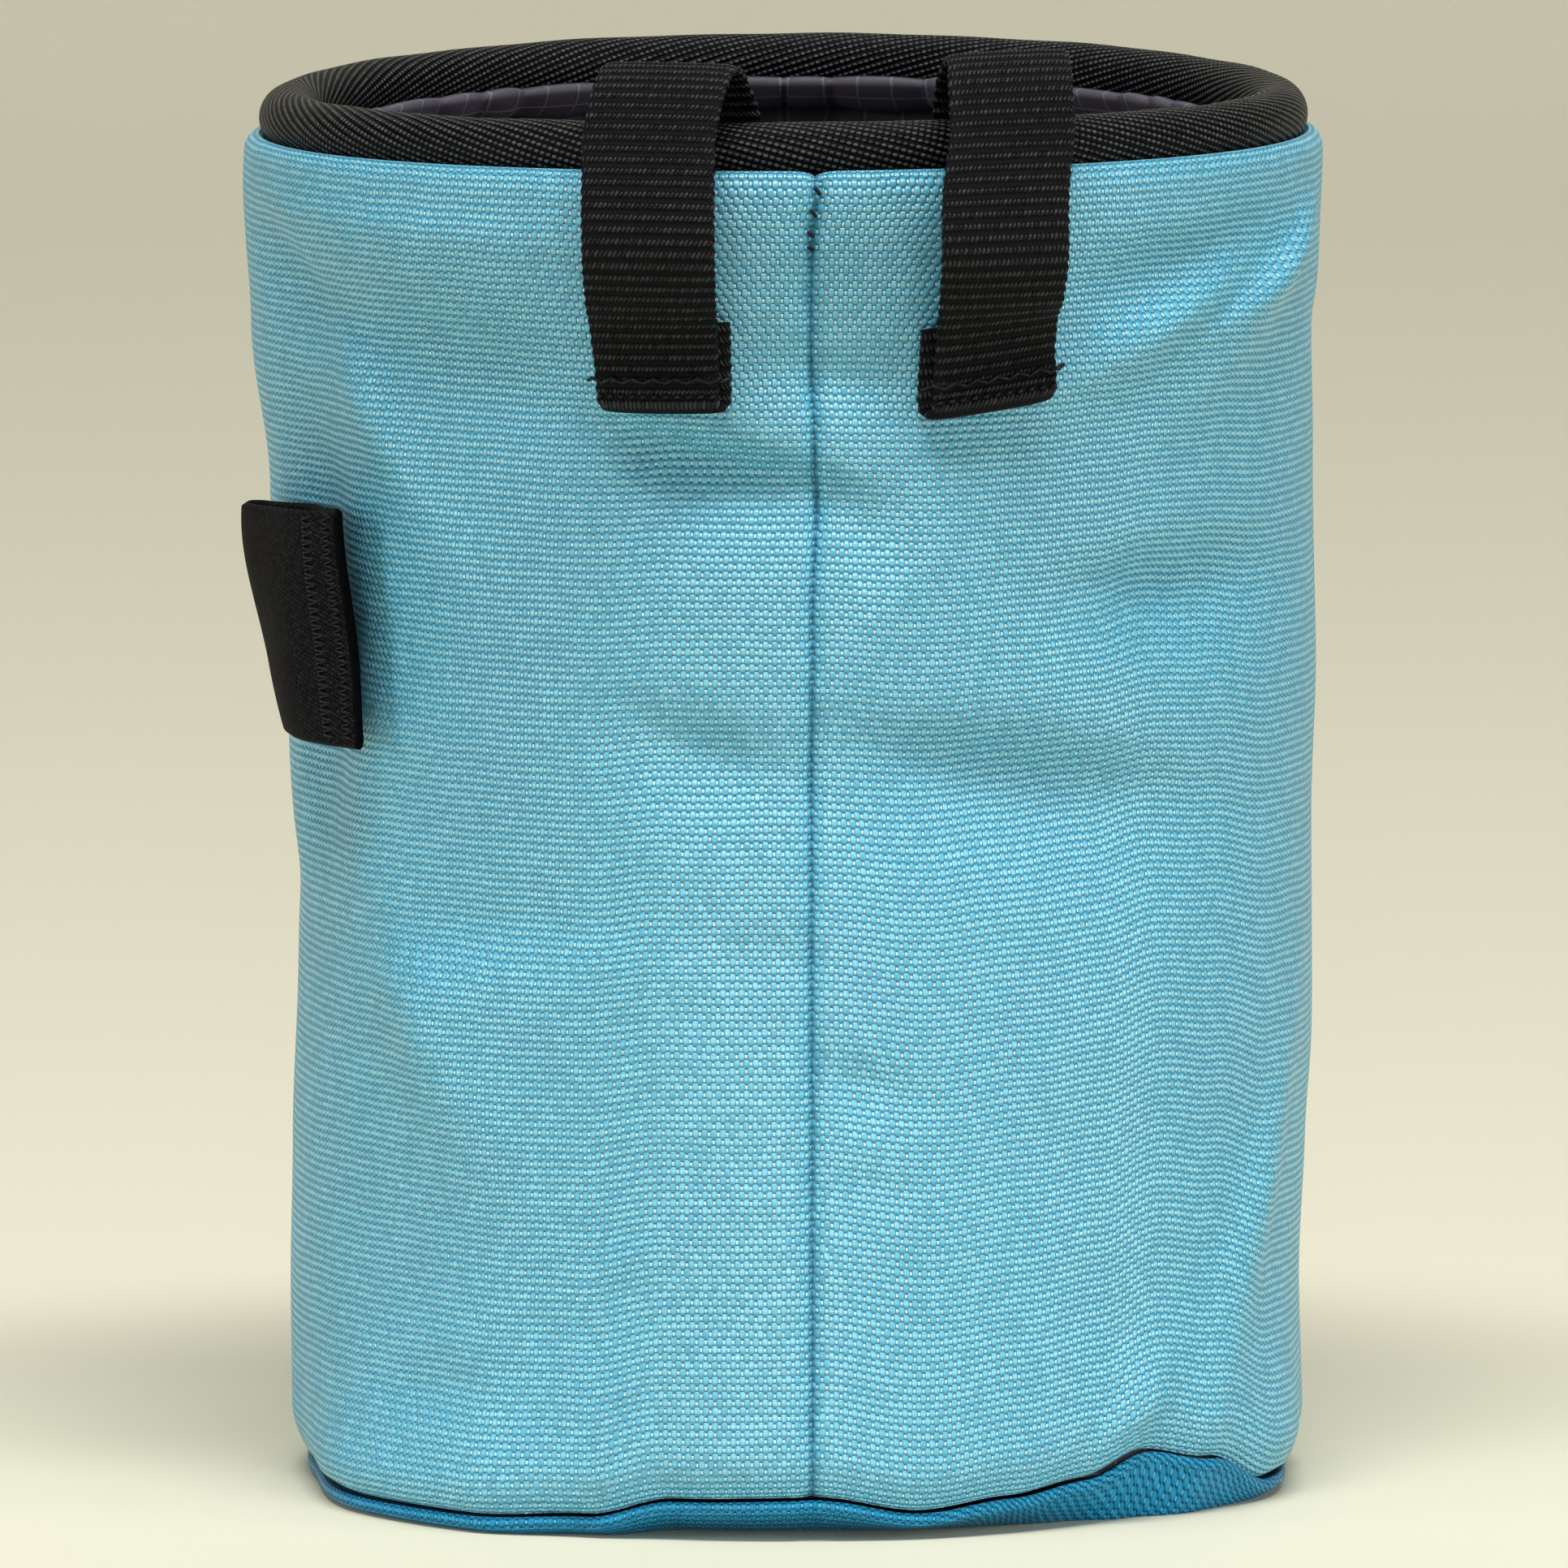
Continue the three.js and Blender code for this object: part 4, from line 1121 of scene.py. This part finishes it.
def strip_rows(shape):
    run, route = even_route(loop_route(shape), STRIP_STEP)
    middle = route[:, :2]
    ahead = np.gradient(middle, axis=0)
    outward = np.column_stack([ahead[:, 1], -ahead[:, 0]]) / np.linalg.norm(ahead, axis=1)[:, None]
    turn = np.linspace(0, 2 * math.pi, STRIP_SIDES, endpoint=False)
    edge = 0.5 * np.sign(np.cos(turn)) * np.abs(np.cos(turn)) ** EDGE_ROUND
    face = np.sign(np.sin(turn)) * np.minimum(1, np.abs(np.sin(turn)) ** FACE_ROUND)
    rib = np.abs(np.cos(math.pi * run / RIB_GAP))[:, None]
    swell = 1 - RIB_DEPTH * rib ** 2
    lift = WEB_THICKNESS / 2 * face[None, :] * swell
    wobble = 1 + EDGE_WOBBLE * np.sin(math.tau * run / RIB_GAP)[:, None] * (np.abs(edge) > 0.45)
    side = edge[None, :] * WEB_WIDTH * wobble
    radius = route[:, :1] + lift * outward[:, :1]
    height = route[:, 1:2] + lift * outward[:, 1:] + route[:, 4:] * side
    away = np.maximum(route[:, :1] - SHELL_RADIUS - 2 * WEB_THICKNESS, 0)
    hang = away * math.tan(math.radians(shape["angle"]))
    angle = shape["angle"] + np.degrees((route[:, 2:3] - hang + side) / radius)
    seat = route[:, 3:4]
    seated = radius + shell_outside(angle, np.broadcast_to(route[:, 1:2], angle.shape)) - SHELL_RADIUS
    flat = radius / np.cos(side / radius)
    points = around(mix(flat, seated, seat), angle, height)
    return run, edge * WEB_WIDTH, points


def make_belt_loop(name, node, shape):
    run, side, points = strip_rows(shape)
    across = np.append(side, side[0])
    loop = grid_piece(name, points, across[None, :], run[:, None], caps=True)
    finish_piece(loop, WEBBING, "black_webbing", node)


make_belt_loop("belt_loop_left_webbing", "belt_loop_left", LEFT_LOOP)
make_belt_loop("belt_loop_right_webbing", "belt_loop_right", RIGHT_LOOP)

# %% [markdown]
# ## The brush loop
# A wide piece of elastic is folded in two. Its ends are sewn down together at one side, and the fold
# stands off the shell, so that a brush handle slides in from above. At each level the elastic is a line
# of angles and distances off the shell: out along the front layer, round the fold and back. The upper
# and lower corners are drawn in, as an open end of elastic always is.

# %% Make the brush loop
ELASTIC_WIDTH = 28.5
ELASTIC_THICKNESS = 1.2
BRUSH_HEIGHT = 107
BRUSH_SEAM = -54.5
BRUSH_SPAN = 26
BRUSH_GAP = 6.6
BRUSH_TURN = 1.9
BRUSH_DROOP = 1.9
BRUSH_LEAN = 2.4
BRUSH_SEAT = 0.6
BRUSH_PINCH = 2.2
BRUSH_TURN_PINCH = 0.38
BRUSH_STEP = 1.1
BRUSH_CROWN = 0.62
BRUSH_STOPS = 60
BRUSH_BEND_STOPS = 14
BRUSH_BACK_STOPS = 36
BRUSH_LEVELS = 70


def brush_line(level):
    """Angle, distance off the shell and share of the span, for each stop of one level of the elastic."""
    inner = BRUSH_SEAT + ELASTIC_THICKNESS / 2
    outer = inner + ELASTIC_THICKNESS + LAYER_GAP
    span = mix(BRUSH_SPAN * 0.9, BRUSH_SPAN, level)
    pinch = (2 * level - 1) ** 2
    turn = mix(BRUSH_TURN * 0.85, BRUSH_TURN, level) * (1 - BRUSH_TURN_PINCH * pinch)
    gap = mix(BRUSH_GAP * 0.91, BRUSH_GAP, level) - BRUSH_PINCH * pinch
    lean = math.log(0.5) / math.log(BRUSH_CROWN)
    seam = BRUSH_SEAM + BRUSH_LEAN * (0.5 - level)
    reach = seam - span
    out = np.linspace(0, 1, BRUSH_STOPS)
    end = inner + 2 * turn
    bulge = inner + ELASTIC_THICKNESS + gap - mix(outer, end, BRUSH_CROWN)
    stand = mix(outer, end, out) + bulge * np.maximum(np.sin(math.pi * out ** lean), 0) ** 0.9
    bend = np.radians(np.linspace(12, 168, BRUSH_BEND_STOPS))
    back = np.linspace(1, 0, BRUSH_BACK_STOPS)
    angle = np.concatenate([
        mix(seam + BRUSH_STEP, reach, out), reach - np.degrees(turn * np.sin(bend) / SHELL_RADIUS),
        mix(seam - BRUSH_STEP, reach, back),
    ])
    off = np.concatenate([stand, inner + turn + turn * np.cos(bend), np.full(BRUSH_BACK_STOPS, inner)])
    return angle, off, np.concatenate([out, np.ones(BRUSH_BEND_STOPS), back])


def brush_rows():
    levels = np.linspace(0, 1, BRUSH_LEVELS)
    middles = []
    for level in levels:
        angle, off, span = brush_line(level)
        height = BRUSH_HEIGHT + (level - 0.5) * ELASTIC_WIDTH - BRUSH_DROOP * span * level
        middles.append(around(shell_outside(angle, height, fine=False) + off, angle, height))
    middles = np.array(middles).transpose(1, 0, 2)
    ahead = np.gradient(middles, axis=0)
    normal = np.stack([-ahead[..., 1], ahead[..., 0], 0 * ahead[..., 0]], -1)
    normal /= np.linalg.norm(normal, axis=-1, keepdims=True)
    edge = np.minimum(levels, 1 - levels) * ELASTIC_WIDTH
    thick = ELASTIC_THICKNESS / 2 * np.sqrt(np.clip(1 - (1 - np.minimum(edge / 0.5, 1)) ** 2, 0.02, 1))
    front = middles + normal * thick[None, :, None]
    back = middles - normal * thick[None, :, None]
    run = run_length(middles).mean(axis=1)
    return run, levels, np.concatenate([front, back[:, ::-1]], axis=1)


run, levels, points = brush_rows()
along = np.concatenate([levels, levels[::-1], levels[:1]]) * ELASTIC_WIDTH
brush = grid_piece("brush_loop_elastic", points, run[:, None], along[None, :], caps=True)
finish_piece(brush, ELASTIC, "black_elastic", "brush_loop")

# %% [markdown]
# ## Stitches
# Sewing thread is a thin round strand. Each stitch is a short tube with its ends pushed into the cloth,
# and the stitches of one job are joined into one mesh. Tubes are better than bump here, because a
# stitch has a shadow and a highlight of its own.

# %% Tubes of thread
def thread_piece(name, lines, radius, sides=8):
    """Joins a tube round each line of points, in millimetres, into one piece."""
    vertices, faces = [], []
    for line in lines:
        line = np.asarray(line, float)
        ahead = np.gradient(line, axis=0)
        ahead /= np.linalg.norm(ahead, axis=1, keepdims=True)
        other = np.cross(ahead, (0.3, 0.9, 0.2))
        other /= np.linalg.norm(other, axis=1, keepdims=True)
        third = np.cross(ahead, other)
        taper = np.ones(len(line))
        taper[[0, -1]] = 0.35
        start = len(vertices)
        for k in range(sides):
            turn = math.tau * k / sides
            offset = (other * math.cos(turn) + third * math.sin(turn)) * radius * taper[:, None]
            vertices += (line + offset).tolist()
        count = len(line)
        for k in range(sides):
            a, b = start + k * count, start + (k + 1) % sides * count
            faces += [(a + i, b + i, b + i + 1, a + i + 1) for i in range(count - 1)]
        faces.append([start + k * count for k in range(sides)][::-1])
        faces.append([start + k * count + count - 1 for k in range(sides)])
    mesh = bpy.data.meshes.new(name)
    mesh.from_pydata((np.array(vertices) * MM).tolist(), [], faces)
    mesh.polygons.foreach_set("use_smooth", np.ones(len(mesh.polygons), bool))
    piece = bpy.data.objects.new(name, mesh)
    bpy.context.scene.collection.objects.link(piece)
    piece.data.materials.append(THREAD)
    print(name, len(lines), "stitches")
    return piece


def on_shell(angle, height, lift):
    return around(shell_outside(angle, height) + lift, angle, height)


print("a stitch beside the seam stands at", on_shell(SEAM_ANGLE, 160.0, 0.75).round(2), "mm")

# %% [markdown]
# ## Stitches of the vertical seam
# The seam is sewn from the inside, so only its top shows thread: a few short slanting stitches that hold
# the lip of the shell together. They get shorter downwards and follow the seam as it wanders.

# %% Stitches of the vertical seam
SEAM_THREAD = 0.24
SEAM_STITCHES = ((162.2, 0.8), (159.5, 0.75), (157.0, 0.6), (155.3, 0.35))


def seam_stitches():
    lines = []
    for height, long in SEAM_STITCHES:
        t = np.linspace(-1, 1, 7)
        lift = 0.75 - 0.6 * t ** 2
        lines.append(on_shell(seam_line(height) - 0.1 + 0.32 * t, height - 0.6 * long * t, lift))
    return lines


stitches = thread_piece("seam_stitches", seam_stitches(), SEAM_THREAD)
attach(stitches, "root")

# %% [markdown]
# ## Stitches of the belt loops
# Each folded hem is held by a row of long tacks above a row of short ones that nearly sink into the
# webbing. A loose end of thread sticks out at either side. All of them are placed by their height over
# the hem's lower edge and follow its tilt.

# %% Stitches of the belt loops' hems
HEM_THREAD = 0.22
TACK_HEIGHT = 4.2
DOT_HEIGHT = 2.3


def strap_spot(shape, side, height, lift):
    """A place on the outer face of a strap's hem."""
    angle = shape["angle"] + np.degrees(side / SHELL_RADIUS)
    off = SEWN_GAP + 2 * WEB_THICKNESS + LAYER_GAP + lift
    flat = shell_outside(angle, np.broadcast_to(np.mean(height), np.shape(angle)))
    return around(flat + off, angle, height + shape["hem_tilt"] * side)


def hem_stitches(shape):
    bottom = BAG_HEIGHT - LOOP_REACH
    lines = []
    t = np.linspace(-1, 1, 7)
    for number, side in enumerate(np.linspace(-7.2, 7.2, 12)):
        height = bottom + TACK_HEIGHT + (0.45 if number % 2 else -0.35) * t
        lines.append(strap_spot(shape, side + 0.95 * t, height, 0.22 - 0.35 * t ** 2))
    for side in np.linspace(-7.0, 7.0, 11):
        lines.append(strap_spot(shape, side + 0.32 * t, bottom + DOT_HEIGHT + 0.1 * t, 0.12 - 0.4 * t ** 2))
    for edge in (-1, 1):
        reach = edge * (7.7 + 0.7 * (t + 1))
        lines.append(strap_spot(shape, reach, bottom + TACK_HEIGHT + 0.25 * t * edge, -0.3 - 0.5 * (t + 1)))
    return lines


for name, shape in (("left", LEFT_LOOP), ("right", RIGHT_LOOP)):
    tack = thread_piece("belt_loop_" + name + "_stitches", hem_stitches(shape), HEM_THREAD)
    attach(tack, "root")

# %% [markdown]
# ## Stitches of the brush loop
# A machine sews stretch goods with a zigzag, which can give. Two columns of it run down the sewn side of
# the elastic. Every zigzag is a line there and a line back, on the outer face of the front layer.

# %% Stitches of the brush loop
BRUSH_THREAD = 0.17
ZIGZAG_COLUMNS = ((0.02, 0.09), (0.145, 0.215))
ZIGZAG_STEP = 0.018


def brush_spot(out, level, lift):
    """A place on the outer face of the elastic, by shares of its span and its width."""
    angle, off, span = brush_line(level)
    index = int(out * (BRUSH_STOPS - 1))
    height = BRUSH_HEIGHT + (level - 0.5) * ELASTIC_WIDTH - BRUSH_DROOP * span[index] * level
    off = off[index] + ELASTIC_THICKNESS / 2 + lift
    return around(shell_outside(angle[index], height, fine=False) + off, angle[index], height)


def brush_stitches():
    def stitch(start, end, level):
        line = []
        for t in (0, 0.2, 0.4, 0.6, 0.8, 1):
            lift = 0.16 - 0.25 * (2 * t - 1) ** 2
            line.append(brush_spot(mix(start, end, t), level + ZIGZAG_STEP * t, lift))
        return line

    lines = []
    for start, end in ZIGZAG_COLUMNS:
        for level in np.arange(0.04, 0.95, 2 * ZIGZAG_STEP):
            lines += [stitch(start, end, level), stitch(end, start, level + ZIGZAG_STEP)]
    return lines


zigzag = thread_piece("brush_loop_stitches", brush_stitches(), BRUSH_THREAD)
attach(zigzag, "root")

# %% [markdown]
# ## Floor
# The bag stands on a pale sweep that curves up behind it, as in a studio, so that no line shows where
# the floor ends. The sweep is one bent strip.

# %% Floor, in metres
FLOOR_WIDTH = 9.0
FLOOR_FRONT = -4.0
SWEEP_START = 1.6
SWEEP_CURVE = 1.2
SWEEP_TOP = 5.0


def make_floor():
    finish = Finish("pale_floor", 0.9, Specular_IOR_Level=0.1)
    pale, less_pale = paint(216, 212, 190), paint(214, 210, 188)
    finish.set("Base Color", finish.blend(finish.cloud(300, 1.0), pale, less_pale))
    turn = np.radians(np.linspace(0, 90, 24))
    bend = SWEEP_START + SWEEP_CURVE * np.sin(turn)
    y = np.concatenate([[FLOOR_FRONT, 0.0], bend, [SWEEP_START + SWEEP_CURVE]])
    z = np.concatenate([[0.0, 0.0], SWEEP_CURVE - SWEEP_CURVE * np.cos(turn), [SWEEP_TOP]])
    vertices = [(x, a, b) for x in (-FLOOR_WIDTH / 2, FLOOR_WIDTH / 2) for a, b in zip(y, z)]
    count = len(y)
    faces = [(i, i + count, i + count + 1, i + 1) for i in range(count - 1)]
    mesh = bpy.data.meshes.new("floor")
    mesh.from_pydata(vertices, [], faces)
    mesh.polygons.foreach_set("use_smooth", np.ones(len(mesh.polygons), bool))
    mesh.materials.append(finish.material)
    floor = bpy.data.objects.new("floor", mesh)
    bpy.context.scene.collection.objects.link(floor)


make_floor()
print("floor", FLOOR_WIDTH, "m wide")

# %% [markdown]
# ## Light
# A wide soft lamp hangs high in front. It lights the upper side of every fold, and it is wide because a
# narrow one would draw a bright stripe down the middle of the tube. A tall lamp fills each side, one
# lights the sweep, and a weak narrow one keeps the underside of the bag from going black. The room adds
# little, because its mirror light would turn the blacks grey.

# %% Lamps and the light of the room
ROOM_COLOUR = (0.92, 0.96, 1.0, 1)
ROOM_LIGHT = 0.13


def lamp(name, place, aim, size, power, spread=180):
    data = bpy.data.lights.new(name, "AREA")
    data.shape = "RECTANGLE"
    data.size, data.size_y = size
    data.energy = power
    data.spread = math.radians(spread)
    light = bpy.data.objects.new(name, data)
    bpy.context.scene.collection.objects.link(light)
    light.location = place
    light.rotation_euler = (Vector(aim) - Vector(place)).to_track_quat("-Z", "Y").to_euler()


lamp("key", (0.05, -0.8, 1.9), (0, 0, 0.10), (1.5, 0.45), 46)
lamp("left", (-1.8, -0.7, 0.4), (0, 0, 0.08), (0.6, 1.0), 13)
lamp("right", (1.8, -0.7, 0.4), (0, 0, 0.08), (0.6, 1.0), 16)
lamp("backdrop", (0, 1.8, 2.0), (0, 1.6, 0), (2.5, 0.8), 14)
lamp("low", (0, -1.7, 0.16), (0, 0, 0.010), (0.5, 0.12), 0.12, spread=10)
world = bpy.data.worlds.new("room")
bpy.context.scene.world = world
world.use_nodes = True
background = world.node_tree.nodes["Background"]
background.inputs["Color"].default_value = ROOM_COLOUR
background.inputs["Strength"].default_value = ROOM_LIGHT
bpy.context.scene.view_settings.view_transform = "Standard"

# %% [markdown]
# ## Finish
